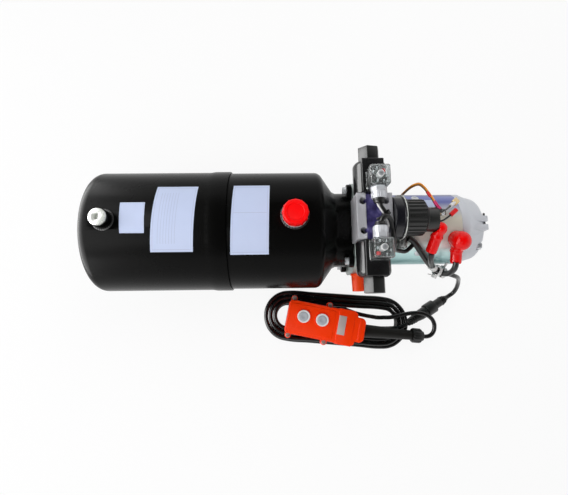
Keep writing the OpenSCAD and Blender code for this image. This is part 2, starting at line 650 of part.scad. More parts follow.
module relay_bracket() color("#8a8d8f") on_axis() difference() {
  union() {
    block(motor_tube_x0 + 1, motor_tube_x0 + 13, -38, 38, 38, 64);
    for (sy = [-1, 1]) translate([motor_tube_x0 + 7, sy * 32, 60]) cylinder(r = 5.5, h = 6, $fn = 6);
  }
  rod_x(motor_r + 0.1, motor_tube_x0, motor_tube_x0 + 14);
  translate([0, 0, relay_z]) rod_x(28.5, motor_tube_x0, motor_tube_x0 + 14);
}

// Boots, wires and ties
module terminal_boots() color("#e01010") on_axis() {
  difference() {
    translate([0, relay_stud_1[0] - 1, relay_z + relay_stud_1[1]]) {
      rod_x(9, relay_x1 + 0.5, relay_x1 + 5);
      translate([relay_x1 + 5, 0, 0]) sphere(r = 9, $fn = 48);
      translate([relay_x1 + 4, 0, 0]) rotate([124, 0, 0]) rotate([0, -11, 0]) {
        cylinder(r = 7.6, h = 36);
        translate([0, 0, 11]) cylinder(r = 8.6, h = 3);
      }
    }
    translate([0, relay_stud_1[0], relay_z + relay_stud_1[1]]) rod_x(6.2, relay_x1, relay_x1 + 10.5);
    translate([0, relay_tip_y, relay_z]) rod_x(relay_tip_r + 0.3, relay_x1 - 16, relay_x1 + 0.4);
    translate([relay_x1 + 4, relay_stud_1[0] - 1, relay_z + relay_stud_1[1]])
      rotate([124, 0, 0]) rotate([0, -11, 0])
      translate([0, 0, 14]) cylinder(r = 5, h = 30);
  }
  difference() {
    rotate([stud_angle, 0, 0]) translate([stud_x, 0, motor_r + 1]) {
      cylinder(r = 12, h = 12);
      translate([2, 0, 13]) sphere(r = 14, $fn = 48);
      translate([-2, 0, 9]) rotate([90, 0, 0]) rotate([0, 3, 0]) {
        cylinder(r = 8, h = 34);
        translate([0, 0, 14]) cylinder(r = 9.2, h = 3.4);
      }
    }
    rotate([stud_angle, 0, 0]) translate([stud_x, 0, motor_r]) cylinder(r = 7.8, h = 21);
    rotate([stud_angle, 0, 0]) translate([stud_x - 2, 0, motor_r + 10]) rotate([90, 0, 0]) rotate([0, 3, 0])
      translate([0, 0, 16]) cylinder(r = 5.4, h = 30);
    rod_x(motor_r + 0.3, motor_tube_x0, motor_x1);
  }
}
module relay_wires() color("#e08a20") on_axis() {
  tube(orange_route, 2);
  tube(spare_route, 1.6);
  translate([112.5, 22.5, 73.5]) rotate([0, 38, 38]) block(0.6, 14, -3.4, 3.4, -2, 2);
}
module heat_shrink_lead() color("#141414") on_axis() tube(heat_shrink_route, 4.4);
module cable_ties() color("#e4e4e0") on_axis() for (i = [7, 9])
  let (p = heat_shrink_route[i], t = heading(heat_shrink_route, i))
    translate(p) rotate([0, acos(t[2]), atan2(t[1], t[0])]) translate([0, 0, -2.5]) difference() {
      union() {
        cylinder(r = 6.6, h = 5);
        translate([4, -3, 0]) cube([6, 6, 5]);
      }
      translate([0, 0, -1]) cylinder(r = 4.7, h = 7);
    }

// Pendant
module on_pendant() translate(pendant_at) rotate([0, 0, pendant_turn]) children();
module pendant_outline(inset, h) {
  rounded_plate(pendant_len - 2 * inset, pendant_w - 2 * inset, 6 - inset, h);
  translate([pendant_len / 2 + pendant_nose / 2 - 6, 0, 0])
    rounded_plate(pendant_nose + 12 - 2 * inset, pendant_w * 0.72 - 2 * inset, 8 - inset, h);
}
module lugs(z0, z1) for (u = lug_u, s = [-1, 1]) translate([u, s * lug_v, z0]) {
  cylinder(r = 5, h = z1 - z0);
  translate([-5, s > 0 ? -6 : 0, 0]) cube([10, 6, z1 - z0]);
}
module lug_holes(r) for (u = lug_u, s = [-1, 1])
  translate([u, s * lug_v, -1]) cylinder(r = r, h = pendant_h + 2);
module pendant_base() color("#ef4a12") on_axis() on_pendant() difference() {
  union() {
    pendant_outline(0, pendant_seam);
    lugs(pendant_seam - 8, pendant_seam);
  }
  translate([0, 0, 3]) pendant_outline(3, pendant_h);
  lug_holes(1.9);
  translate([0, 0, pendant_seam]) rod_x(9, pendant_len / 2, 100);
}
module pendant_cover() color("#f5501a") on_axis() on_pendant() difference() {
  union() {
    translate([0, 0, pendant_seam + 0.2]) pendant_outline(0, pendant_h - pendant_seam - 0.2);
    lugs(pendant_seam + 0.2, pendant_seam + 8);
    for (u = button_u) translate([u, button_v, pendant_h - 1]) cylinder(r = button_r + 3, h = 2.2);
  }
  translate([0, 0, -3]) pendant_outline(3, pendant_h);
  lug_holes(2.2);
  for (u = lug_u, s = [-1, 1]) translate([u, s * lug_v, pendant_seam + 8]) cylinder(r = 3.9, h = pendant_h);
  for (u = button_u) translate([u, button_v, pendant_h - 10]) cylinder(r = button_r + 0.1, h = 20);
  translate([0, 0, pendant_seam]) rod_x(9, pendant_len / 2, 100);
}
module button(u) on_pendant() translate([u, button_v, 0]) difference() {
  union() {
    translate([0, 0, pendant_h - 9]) cylinder(r = button_r, h = 13.5);
    translate([0, 0, pendant_h - 9]) cylinder(r = button_r + 1.6, h = 4);
  }
  translate([0, 0, pendant_h + 3.7]) cylinder(r = button_r - 2, h = 3);
}
module up_button() color("#f2f2ee") on_axis() button(button_u[0]);
module down_button() color("#f2f2ee") on_axis() button(button_u[1]);
module switch_block() color("#2a2a2c") on_axis() on_pendant()
  translate([-15, button_v / 2, 3.05]) rounded_plate(60, 34, 2, pendant_h - 16);
module small_screw(length, r, head) difference() {
  union() {
    translate([0, 0, -length]) cylinder(r = r, h = length + 0.1);
    translate([0, 0, 0.05]) cylinder(r = head, h = 2.2);
  }
  block(-4, 4, -0.5, 0.5, 1.3, 4);
}
module small_screws() color("#dcdcd6") on_axis() {
  both_sides() translate([din_x, din_y, din_z1]) small_screw(din_z1 - spool_z - coil_r + 7, 1.5, 3.4);
  on_pendant() for (u = lug_u, s = [-1, 1])
    translate([u, s * lug_v, pendant_seam + 8]) small_screw(15, 1.8, 3.6);
}
module on_sleeve() on_pendant() translate([pendant_len / 2 + pendant_nose, 0, pendant_seam])
  rotate([0, sleeve_drop, sleeve_turn]) children();
module cord_sleeve() color("#1a1a1a") on_axis() on_sleeve() {
  turned_x([
    [0, -12], [7, -12], [7, 1.6], [11, 1.6], [10.5, 8], [8, sleeve_len - 6], [8, sleeve_len], [0, sleeve_len]
  ]);
}
module sleeve_nut() color("#202020") on_axis() on_sleeve() difference() {
  union() {
    rod_x(11, sleeve_len + 0.05, sleeve_len + nut_len - 4);
    rod_x(8, sleeve_len + nut_len - 4, sleeve_len + nut_len);
    for (k = [0:11]) rotate([30 * k, 0, 0])
      block(sleeve_len + 1, sleeve_len + nut_len - 5, -1.6, 1.6, 9, 11.9);
  }
  rod_x(cord_r + 0.2, sleeve_len + nut_len - 8, sleeve_len + nut_len + 1);
}

// Free cord
module control_cord() color("#131313") on_axis() tube(control_route, cord_r);
module inline_connector() color("#1b1b1b") on_axis() translate(connector_at)
  rotate([0, -connector_lift, connector_turn]) {
    turned_x([[0, 0.1], [4.5, 0.1], [7.4, 14], [7.4, 39], [0, 39]]);
    turned_x([[0, 39.1], [9, 39.1], [9, 58], [7.6, 66], [5, connector_len - 0.1], [0, connector_len - 0.1]]);
    difference() {
      rod_x(11, 28, 46);
      rod_x(9.1, 27, 47);
    }
  }
function hank_place(i, r) =
  let (j = (i + hank_rings / 12) % hank_rings, run = hank_run)
    j < 4 ? [run - run * j / 2, -r] :
    j < 12 ? [-run + r * cos(270 - 22.5 * (j - 4)), r * sin(270 - 22.5 * (j - 4))] :
    j < 16 ? [-run + run * (j - 12) / 2, r] :
    [run + r * cos(90 - 22.5 * (j - 16)), r * sin(90 - 22.5 * (j - 16))];
layer_rings = hank_turns * hank_rings;
climb_rings = hank_rings / 2;
hank_last = 2 * layer_rings + climb_rings;
function hank_radius(i) = hank_r + hank_step / hank_rings * min(i, hank_last - i);
function hank_height(i) = hank_z2 - hank_step *
  (i <= layer_rings ? 0 : i <= layer_rings + climb_rings ? (i - layer_rings) / climb_rings : 1);
hank_loops = [
  for (i = [0:hank_last]) let (p = hank_place(i, hank_radius(i))) [p[0], p[1], hank_height(i)]
];
hank_route = concat(hank_entry, hank_loops, hank_exit);
function gaps(route) = [
  for (i = [0:len(route) - 1], j = [i + 5:1:len(route) - 1]) norm(route[i] - route[j]) - cord_d
];
echo(hank_least_gap = min(gaps(hank_route)));
steps = [for (i = [1:len(hank_route) - 1]) norm(hank_route[i] - hank_route[i - 1])];
echo(hank_length = steps * [for (step = steps) 1]);
module in_hank() translate(hank_at) rotate([0, 0, hank_turn]) children();
module cord_hank() color("#131313") on_axis() in_hank() tube(hank_route, cord_r, 6);
module pendant_lead() color("#131313") on_axis() in_hank() tube(lead_points, cord_r);

tank_rear_shell();
tank_front_shell();
port_bung();
port_bung_plug();
filler_base();
filler_cap();
neck_seal();
tank_bolts();
manifold_block();
relief_valve();
port_plugs();
valve_body();
valve_bolts();
valve_spool();
solenoid_plungers();
core_tubes();
centring_springs();
solenoid_coils();
coil_nuts();
din_housings();
din_glands();
valve_leads();
pump_body();
pump_cover();
drive_gear();
driven_gear();
shaft_coupling();
suction_strainer();
motor_tube();
motor_flange();
motor_end_cap();
pole_magnets();
motor_shaft();
armature_core();
commutator();
brush_set();
bearings();
through_bolts();
terminal_studs();
relay_can();
relay_cap();
relay_coil();
relay_plunger();
relay_bracket();
terminal_boots();
relay_wires();
heat_shrink_lead();
cable_ties();
pendant_base();
pendant_cover();
up_button();
down_button();
switch_block();
small_screws();
cord_sleeve();
sleeve_nut();
control_cord();
inline_connector();
cord_hank();
pendant_lead();
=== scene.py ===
"""Looks of a hydraulic power unit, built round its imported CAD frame.

Lengths inside the makers are millimetres from the shaft axis, which lies AXIS_H above the frame's origin.
The function at() turns them into the frame's metres.
"""
import json
import math

import bpy
from mathutils import Matrix, Vector

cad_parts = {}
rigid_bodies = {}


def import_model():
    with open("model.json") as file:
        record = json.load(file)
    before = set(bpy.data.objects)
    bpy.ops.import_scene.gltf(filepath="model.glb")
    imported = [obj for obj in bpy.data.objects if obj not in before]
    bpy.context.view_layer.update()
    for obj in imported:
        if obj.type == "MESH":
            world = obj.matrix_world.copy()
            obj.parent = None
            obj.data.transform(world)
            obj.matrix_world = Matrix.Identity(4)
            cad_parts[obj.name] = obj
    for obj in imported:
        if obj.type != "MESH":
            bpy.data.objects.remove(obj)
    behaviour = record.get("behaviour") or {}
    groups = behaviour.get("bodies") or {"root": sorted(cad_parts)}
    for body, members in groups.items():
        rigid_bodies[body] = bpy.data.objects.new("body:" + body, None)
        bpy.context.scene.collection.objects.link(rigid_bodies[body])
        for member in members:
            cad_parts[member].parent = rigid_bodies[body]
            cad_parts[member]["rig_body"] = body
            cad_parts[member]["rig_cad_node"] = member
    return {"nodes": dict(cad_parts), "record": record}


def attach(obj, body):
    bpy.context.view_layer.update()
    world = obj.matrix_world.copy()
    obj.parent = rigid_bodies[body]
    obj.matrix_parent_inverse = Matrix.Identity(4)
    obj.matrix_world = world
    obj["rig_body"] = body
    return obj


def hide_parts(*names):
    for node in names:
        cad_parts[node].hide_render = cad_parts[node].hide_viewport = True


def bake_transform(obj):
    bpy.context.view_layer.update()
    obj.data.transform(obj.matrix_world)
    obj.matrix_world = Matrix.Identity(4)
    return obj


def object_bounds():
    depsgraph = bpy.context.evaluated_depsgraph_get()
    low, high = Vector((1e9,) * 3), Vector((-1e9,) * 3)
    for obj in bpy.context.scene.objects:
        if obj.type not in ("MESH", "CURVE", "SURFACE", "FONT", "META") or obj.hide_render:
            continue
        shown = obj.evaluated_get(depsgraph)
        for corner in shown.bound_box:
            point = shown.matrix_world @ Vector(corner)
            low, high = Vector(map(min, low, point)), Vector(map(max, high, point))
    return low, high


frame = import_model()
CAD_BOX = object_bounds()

bl_info = {
    "name": "Hydraulic power unit looks",
    "version": (1, 0, 0),
    "blender": (4, 5, 0),
    "location": "View3D > Sidebar > Power unit",
    "description": "Dresses the packed power unit with its finishes, wiring and small parts",
    "category": "Object",
}

MM = 0.001
AXIS_H = 60
NODES = frame["nodes"]
SLOT_OF = {row["node"]: row["material_slot"] for row in frame["record"]["subparts"]}
SLOTS = set(SLOT_OF.values())
BODY_OF = {node: body for body, nodes in frame["record"]["behaviour"]["bodies"].items() for node in nodes}
FINISHES = {}


def at(x, y, a):
    """A place in millimetres from the shaft axis, in the frame's metres."""
    return Vector((x, y, a + AXIS_H)) * MM


def line(points):
    """A whole route through at()."""
    return [at(*point) for point in points]


def turn_z(degrees):
    """A turn about the upright axis."""
    return Matrix.Rotation(math.radians(degrees), 4, "Z")


# Places that several pieces share, in millimetres from the shaft axis or in the pendant's own frame
TANK_R = 90
VALVE_X = -5
SPOOL_H = 78
PLUG_X = -3
GLAND_H = 116
RELAY_H = 84
BUTTON_U = {"up": -30, "down": 0}
BUTTON_V = 4
PENDANT = Matrix.Translation(at(-65, -142, -76.1)) @ turn_z(-12)
HANK = Matrix.Translation(at(-37, -138, 0)) @ turn_z(-5)

# Routes of the wires and cords, the same as in the part's source
HEAT_SHRINK = [
    (50, -24, 60.5), (57, -27.5, 58), (64, -34, 53.5), (72, -42, 46), (80, -49, 37), (88, -54.5, 27),
    (96, -58.5, 17), (104, -61.5, 9), (112, -64, 4), (120, -66.8, 1.5), (127, -69, 0),
]
CONTROL = [
    (127, -69, 0), (134, -71.2, -1.5), (144.5, -73, -10), (156, -74.5, -28), (166, -77, -50), (171, -83, -65),
    (172, -90, -76), (169.5, -96, -83), (163.5, -100.4, -85.1), (157, -104, -83.7),
]
REAR_LEAD = [
    (-3, 26, 116), (-3, 16, 116), (-1, 9, 115.5), (3, 3.5, 114), (7.5, -2, 111.5), (11.5, -9, 109.5),
    (13.6, -17, 108), (15, -25, 106.5), (17.5, -33, 102), (20, -39, 94), (22.5, -41.5, 84), (26, -42, 73),
    (31, -41.5, 64.5), (38, -42, 59.5), (46, -42, 56.5), (53, -37.5, 54.5), (58, -32.5, 54.8),
]
FRONT_LEAD = [
    (-3, -26, 116), (-3, -16, 116), (-1.5, -10.5, 118), (2, -6.5, 118.5), (6.5, -5.5, 117), (10.5, -8.5, 114),
    (12.8, -14, 110.5), (13.8, -19, 107.4),
]
ORANGE_WIRE = [
    (48, 42, 48), (48, 42, 56), (49, 43, 64), (51.5, 45, 72), (56, 47, 79), (62, 47.5, 83), (67, 43, 85),
    (71.5, 36, 86.5), (75.5, 28.5, 88), (78.5, 21, 90), (81.5, 14, 92), (84.5, 9, 93),
]
SPARE_WIRE = [(86, 5.5, 92.5), (92, 8.5, 90), (99, 13, 85), (106, 18, 79), (112.5, 22.5, 73.5)]
HANK_ENTRY = [
    (119.8, 2.1, -68.4), (113.3, -2.2, -67.3), (104, -6, -68.2), (93, -8, -70.6), (81, -9.2, -73.4),
    (69, -10.2, -76.4), (57, -11.2, -79), (45, -12.6, -79.8), (33, -14.6, -79.9), (20, -17.2, -79.9),
]
HANK_EXIT = [
    (12, 19.4, -87.5), (24, 16, -86.3), (36, 12.6, -83), (48, 10.4, -79), (60, 9, -75), (71, 8.2, -71.6),
    (80, 9, -70),
]
LEAD_END = [
    (89, 9.8, -68.4), (102, 13.2, -65.6), (115, 17.4, -63), (127, 20, -60.5), (137, 20.6, -59),
    (147, 18.9, -58.8), (155.5, 14.6, -59.8), (161.2, 8, -61.4), (163.4, 0, -63), (162.3, -8, -64.3),
    (158, -14, -65.2), (151.5, -16.8, -65.4), (144.5, -16.8, -64.9), (139.5, -16.7, -64.5),
]


def hank_loops(step=7.8, start=20.5, run=80, turns=2.5, top=-79.9):
    """The hank's loops: out over one layer, down half a turn, and in again below it.

    A loop has 24 rings: 4 along each side and 8 round each end.
    """
    rings = 24
    layer = int(turns * rings)
    climb = rings // 2
    last = 2 * layer + climb
    points = []
    for i in range(last + 1):
        radius = start + step / rings * min(i, last - i)
        drop = min(max((i - layer) / climb, 0), 1)
        j = (i + rings // 12) % rings
        if j < 4:
            place = (run - run * j / 2, -radius)
        elif j < 12:
            angle = math.radians(270 - 22.5 * (j - 4))
            place = (-run + radius * math.cos(angle), radius * math.sin(angle))
        elif j < 16:
            place = (-run + run * (j - 12) / 2, radius)
        else:
            angle = math.radians(90 - 22.5 * (j - 16))
            place = (run + radius * math.cos(angle), radius * math.sin(angle))
        points.append((*place, top - step * drop))
    return points


class PowerUnitSizes(bpy.types.PropertyGroup):
    """Sizes that a user would change."""

    cord_d: bpy.props.FloatProperty(
        name="Cord diameter", description="Outer diameter of the cord", default=0.007, unit="LENGTH"
    )
    control_length: bpy.props.FloatProperty(
        name="Control cord length", description="From the bundle to the connector", default=0.122,
        unit="LENGTH",
    )
    pendant_length: bpy.props.FloatProperty(
        name="Pendant cord length", description="From the connector to the pendant", default=3.18,
        unit="LENGTH",
    )
    label_thickness: bpy.props.FloatProperty(
        name="Label thickness", description="Thickness of the stuck-on sheets", default=0.00015, unit="LENGTH"
    )


class PowerUnitColours(bpy.types.PropertyGroup):
    """Colours that a user would change."""

    tank: bpy.props.FloatVectorProperty(
        name="Tank paint", description="Paint of both cups", size=3,
        default=(0.0018, 0.0018, 0.0017), subtype="COLOR",
    )
    cap: bpy.props.FloatVectorProperty(
        name="Filler cap", description="Moulded cap", size=3,
        default=(0.92, 0.001, 0.002), subtype="COLOR",
    )
    shell: bpy.props.FloatVectorProperty(
        name="Pendant shell", description="Moulded shells", size=3,
        default=(0.98, 0.043, 0.002), subtype="COLOR",
    )
    boot: bpy.props.FloatVectorProperty(
        name="Terminal boots", description="Rubber boots", size=3,
        default=(0.82, 0.002, 0.002), subtype="COLOR",
    )
    label: bpy.props.FloatVectorProperty(
        name="Labels", description="Blank stuck-on sheets", size=3,
        default=(0.50, 0.57, 0.77), subtype="COLOR",
    )


class Value:
    """A socket of a finish. Arithmetic on it adds Math nodes."""

    def __init__(self, finish, socket):
        self.finish = finish
        self.socket = socket

    def maths(self, operation, first, second):
        return self.finish.node("ShaderNodeMath", {"operation": operation}, {0: first, 1: second})

    def __add__(self, other):
        return self.maths("ADD", self, other)

    __radd__ = __add__

    def __sub__(self, other):
        return self.maths("SUBTRACT", self, other)

    def __rsub__(self, other):
        return self.maths("SUBTRACT", other, self)

    def __mul__(self, other):
        return self.maths("MULTIPLY", self, other)

    __rmul__ = __mul__

    def __truediv__(self, other):
        return self.maths("DIVIDE", self, other)

    def __mod__(self, other):
        return self.maths("FLOORED_MODULO", self, other)

    def __gt__(self, other):
        return self.maths("GREATER_THAN", self, other)

    def __lt__(self, other):
        return self.maths("LESS_THAN", self, other)

    def __abs__(self):
        return self.maths("ABSOLUTE", self, 0.0)


class Tree:
    """A node tree, and the one way to add a node to it."""

    def __init__(self, owner):
        owner.use_nodes = True
        self.nodes = owner.node_tree.nodes
        self.links = owner.node_tree.links

    def node(self, kind, settings=None, inputs=None, out=0):
        """Adds a node: its settings first, then the values and links of its sockets."""
        made = self.nodes.new(kind)
        for key, value in (settings or {}).items():
            if key == "stops":
                ramp = made.color_ramp.elements
                ramp.remove(ramp[1])
                ramp[0].position = value[0][0]
                ramp[0].color = (*value[0][1], 1)
                for position, colour in value[1:]:
                    ramp.new(position).color = (*colour, 1)
            else:
                setattr(made, key, value)
        for key, value in (inputs or {}).items():
            if isinstance(value, Value):
                self.links.new(value.socket, made.inputs[key])
            else:
                made.inputs[key].default_value = value
        return Value(self, made.outputs[out])


class Finish(Tree):
    """One procedural material, with its surface shader and the nodes that feed it."""

    def __init__(self, name, **constants):
        self.material = bpy.data.materials.new(name)
        super().__init__(self.material)
        self.surface = self.nodes["Principled BSDF"]
        for socket, value in constants.items():
            self.surface.inputs[socket.replace("_", " ")].default_value = value
        FINISHES[name] = self.material

    def place(self, kind="Object"):
        return self.node("ShaderNodeTexCoord", out=kind)

    def axes(self, kind="Object"):
        """The three coordinates as values."""
        whole = self.place(kind)
        first = self.node("ShaderNodeSeparateXYZ", None, {0: whole})
        return [Value(self, socket) for socket in first.socket.node.outputs]

    def noise(self, scale, detail=2.0, stretch=(1, 1, 1)):
        place = self.node("ShaderNodeMapping", None, {"Vector": self.place(), "Scale": stretch})
        return self.node("ShaderNodeTexNoise", None, {"Vector": place, "Scale": scale, "Detail": detail})

    def ramp(self, value, *stops):
        return self.node("ShaderNodeValToRGB", {"stops": stops}, {"Fac": value})

    def mix(self, factor, first, second):
        """A colour between two."""
        pair = [(*c, 1) if isinstance(c, tuple) else c for c in (first, second)]
        return self.node("ShaderNodeMix", {"data_type": "RGBA"}, {0: factor, 6: pair[0], 7: pair[1]}, 2)

    def feed(self, socket, value):
        self.links.new(value.socket, self.surface.inputs[socket])

    def bump(self, height, strength, distance=0.0005):
        self.feed("Normal", self.node(
            "ShaderNodeBump", None, {"Height": height, "Strength": strength, "Distance": distance}
        ))

    def coat(self, colour, roughness, spread=0.08, mottle=0.12, scale=45, stretch=(1, 1, 1)):
        """Colour and gloss that vary softly in patches."""
        patches = self.noise(scale, 4, stretch)
        dark = tuple(c * (1 - mottle) for c in colour)
        light = tuple(min(c * (1 + mottle), 1) for c in colour)
        shade = self.mix(patches, dark, light)
        self.feed("Base Color", shade)
        self.feed("Roughness", patches * spread + (roughness - spread / 2))
        return shade


def plain_finish(
    name, colour, roughness, grain=0.0, grain_scale=700, mottle=0.12, spread=0.08, scale=45, **constants
):
    """A finish with soft patches and a fine grain."""
    finish = Finish(name, **constants)
    finish.coat(colour, roughness, spread, mottle, scale)
    if grain:
        finish.bump(finish.noise(grain_scale, 3), grain, 0.0003)
    return finish


def brushed_finish(name, colour, roughness, stretch, depth=0.12, mottle=0.14, metallic=1.0):
    """Bare or plated metal with fine lines along one axis."""
    finish = Finish(name, Metallic=metallic)
    finish.coat(colour, roughness, 0.12, mottle, 60)
    finish.bump(finish.noise(40, 4, stretch), depth, 0.0002)
    return finish


def make_plain_finishes(colours):
    """The finishes that need only patches and grain."""
    plain_finish("tank_paint", tuple(colours.tank), 0.27, 0.10, 260, 0.2, 0.10, 9, Specular_IOR_Level=0.075)
    plain_finish("red_cap", tuple(colours.cap), 0.32, 0.12, 1400, 0.06, Specular_IOR_Level=0.12)
    plain_finish("seal_rubber", (0.012, 0.012, 0.012), 0.6, 0.2)
    plain_finish("black_steel", (0.010, 0.010, 0.011), 0.30, 0.15, 900, 0.3)
    plain_finish("orange_plug", (0.90, 0.062, 0.008), 0.30, 0.10, 900, 0.06, Specular_IOR_Level=0.14)
    plain_finish("coil_resin", (0.008, 0.008, 0.0085), 0.20, 0.08, 420, 0.25)
    plain_finish("black_nylon", (0.010, 0.0105, 0.010), 0.32, 0.10, 900, 0.2)
    plain_finish("lead_rubber", (0.005, 0.005, 0.005), 0.30, 0.10, 500, 0.25)
    plain_finish("cord_rubber", (0.0035, 0.0033, 0.0033), 0.26, 0.10, 420, 0.25)
    plain_finish("sleeve_rubber", (0.006, 0.0055, 0.0045), 0.46, 0.22, 600, 0.25, Specular_IOR_Level=0.25)
    plain_finish("strainer_plastic", (0.55, 0.53, 0.46), 0.5, 0.1)
    plain_finish("magnet", (0.03, 0.03, 0.033), 0.5, 0.2)
    plain_finish("brush_carbon", (0.03, 0.028, 0.027), 0.55, 0.2)
    plain_finish("relay_black", (0.0065, 0.0065, 0.0095), 0.24, 0.08, 300, 0.25)
    plain_finish("red_boot", tuple(colours.boot), 0.16, 0.06, 300, 0.10, 0.05, Specular_IOR_Level=0.3)
    plain_finish("orange_wire", (0.86, 0.32, 0.02), 0.32, 0.05, 500, 0.08)
    plain_finish("brown_wire", (0.20, 0.075, 0.015), 0.34, 0.05, 500, 0.1)
    plain_finish("magenta_sleeve", (0.52, 0.004, 0.10), 0.3, 0.05, 500, 0.1)
    plain_finish("red_sleeve", (0.66, 0.004, 0.006), 0.3, 0.05, 500, 0.1)
    plain_finish("white_tie", (0.76, 0.76, 0.75), 0.34, 0.08, 700, 0.05)
    plain_finish("orange_shell", tuple(colours.shell), 0.28, 0.12, 1500, 0.05, Specular_IOR_Level=0.12)
    plain_finish("white_button", (0.82, 0.82, 0.82), 0.3, 0.05, 700, 0.03)
    plain_finish("grey_disc", (0.40, 0.42, 0.46), 0.4, 0.08, 900, 0.10)
    plain_finish("plate_grey", (0.54, 0.46, 0.44), 0.36, 0.10, 900, 0.14, Metallic=0.2)
    plain_finish("dull_steel", (0.34, 0.29, 0.26), 0.36, 0.10, 900, 0.2, Metallic=0.4)
    plain_finish("board_green", (0.01, 0.07, 0.045), 0.4, 0.1, 900, 0.25)
    plain_finish("weld_black", (0.004, 0.004, 0.004), 0.3, 0.35, 330, 0.25)
    plain_finish(
        "clear_plastic", (0.80, 0.83, 0.83), 0.05, 0.03, 260, 0.02, 0.03, Transmission_Weight=0.97, IOR=1.4
    )


def make_metal_finishes():
    """Bare and plated metals."""
    brushed_finish("nickel_plate", (0.70, 0.72, 0.68), 0.26, (6, 6, 60), 0.12, 0.14, 0.45)
    brushed_finish("chrome_plate", (0.55, 0.56, 0.59), 0.34, (8, 40, 8), 0.03, 0.05, 0.3)
    brushed_finish("zinc_steel", (0.56, 0.58, 0.60), 0.32, (20, 20, 20), 0.2, 0.25, 0.7)
    brushed_finish("bright_steel", (0.66, 0.67, 0.68), 0.22, (6, 60, 60), 0.05)
    brushed_finish("block_aluminium", (0.30, 0.35, 0.33), 0.36, (10, 60, 3), 0.15, 0.2, 0.6)
    brushed_finish("copper", (0.72, 0.32, 0.16), 0.3, (6, 50, 50), 0.1)
    brushed_finish("brass", (0.70, 0.52, 0.24), 0.26, (30, 30, 30), 0.08, 0.14, 0.5)
    brushed_finish("armature", (0.30, 0.22, 0.16), 0.45, (90, 4, 4), 0.4)
    speckle = Finish("bracket_casting", Metallic=0.8)
    spots = speckle.noise(260, 5)
    speckle.feed("Base Color", speckle.ramp(
        spots, (0.30, (0.05, 0.05, 0.05)), (0.47, (0.28, 0.29, 0.28)), (0.62, (0.66, 0.67, 0.66))
    ))
    speckle.feed("Roughness", spots * 0.3 + 0.3)
    speckle.bump(spots, 0.6, 0.0008)
    cast = Finish("cast_aluminium", Metallic=0.2)
    cast.coat((0.58, 0.60, 0.64), 0.40, 0.12, 0.08, 30)
    cast.bump(cast.noise(900, 4), 0.3, 0.0003)
    tube = Finish("motor_steel", Metallic=0.3)
    _, across, _ = tube.axes()
    cloud = tube.noise(24, 4)
    # The tube's colour is painted reflection and shade, set by the place round the tube from front to rear:
    # dark teal at the front, a pale painted highlight band, beige over the top, then a painted blue
    # reflection and a dark painted shade at the rear edge.
    ring = across / 0.108 + 0.5 + (cloud - 0.5) * 0.05
    tube.feed("Base Color", tube.ramp(
        ring, (0.02, (0.28, 0.50, 0.50)), (0.12, (0.66, 0.94, 0.93)), (0.19, (0.84, 0.95, 0.93)),
        (0.27, (0.64, 0.65, 0.60)), (0.55, (0.64, 0.61, 0.51)), (0.72, (0.36, 0.37, 0.46)),
        (0.80, (0.09, 0.11, 0.34)), (0.90, (0.16, 0.19, 0.48)), (0.97, (0.07, 0.08, 0.16))
    ))
    tube.feed("Roughness", cloud * 0.14 + 0.24)
    tube.bump(tube.noise(30, 4, (1, 40, 40)), 0.10, 0.0002)


def make_valve_finish():
    """Phosphated iron: grey lands and a violet channel between them."""
    valve = Finish("valve_iron", Metallic=0.35)
    x, _, z = valve.axes()
    cloud = valve.noise(90, 5)
    lines = valve.noise(30, 4, (60, 2, 10))
    channel = (abs(x + 0.0055) < 0.0117) * (z < 0.1568) * (z > 0.146)
    land = valve.mix(lines, (0.34, 0.34, 0.36), (0.62, 0.62, 0.65))
    violet = valve.ramp(
        cloud, (0.30, (0.020, 0.015, 0.065)), (0.52, (0.070, 0.058, 0.21)), (0.72, (0.20, 0.18, 0.40))
    )
    valve.feed("Base Color", valve.mix(channel, land, violet))
    valve.feed("Roughness", cloud * 0.2 + 0.25)
    valve.bump(cloud + lines * 0.4, 0.25, 0.0003)


def make_label_finishes(colours):
    """Blank sheets with a thin border, one with plain rules and one with a middle line."""
    paper = tuple(colours.label)
    ink = (0.30, 0.33, 0.45)
    for name in ("label_small", "label_ruled", "label_halved"):
        sheet = Finish(name)
        u, v, _ = sheet.axes("UV")
        tone = sheet.mix(sheet.noise(60, 3), paper, tuple(min(c * 1.06, 1) for c in paper))
        edge_u = abs(u - 0.5)
        edge_v = abs(v - 0.5)
        border = (edge_u < 0.46) * (edge_v < 0.47) - (edge_u < 0.448) * (edge_v < 0.461)
        tone = sheet.mix(border * 0.4, tone, ink)
        if name == "label_halved":
            tone = sheet.mix((abs(v - 0.56) < 0.004) * (edge_u < 0.44) * 0.4, tone, ink)
        if name == "label_ruled":
            rules = (abs((u * 15) % 1.0 - 0.5) < 0.10) * (abs(u - 0.36) < 0.24) * (edge_v < 0.38)
            tone = sheet.mix(rules * 0.35, tone, ink)
        sheet.feed("Base Color", tone)
        sheet.feed("Roughness", sheet.noise(30, 2) * 0.1 + 0.32)
        sheet.bump(sheet.noise(220, 2), 0.05, 0.0002)


def free_hands():
    """Leaves object mode with nothing selected."""
    if bpy.context.object and bpy.context.object.mode != "OBJECT":
        bpy.ops.object.mode_set(mode="OBJECT")
    bpy.ops.object.select_all(action="DESELECT")


def hold(*pieces):
    """Selects these pieces alone, the first one active."""
    free_hands()
    for piece in pieces:
        piece.select_set(True)
    bpy.context.view_layer.objects.active = pieces[0]


def refine(piece, kind, **settings):
    """Adds a modifier and applies it."""
    hold(piece)
    bpy.ops.object.modifier_add(type=kind)
    modifier = piece.modifiers[-1]
    for key, value in settings.items():
        setattr(modifier, key, value)
    bpy.ops.object.modifier_apply(modifier=modifier.name)


def soften(piece, angle=40):
    """Smooth shading, with edges kept where the faces turn sharply."""
    hold(piece)
    bpy.ops.object.shade_smooth_by_angle(angle=math.radians(angle))


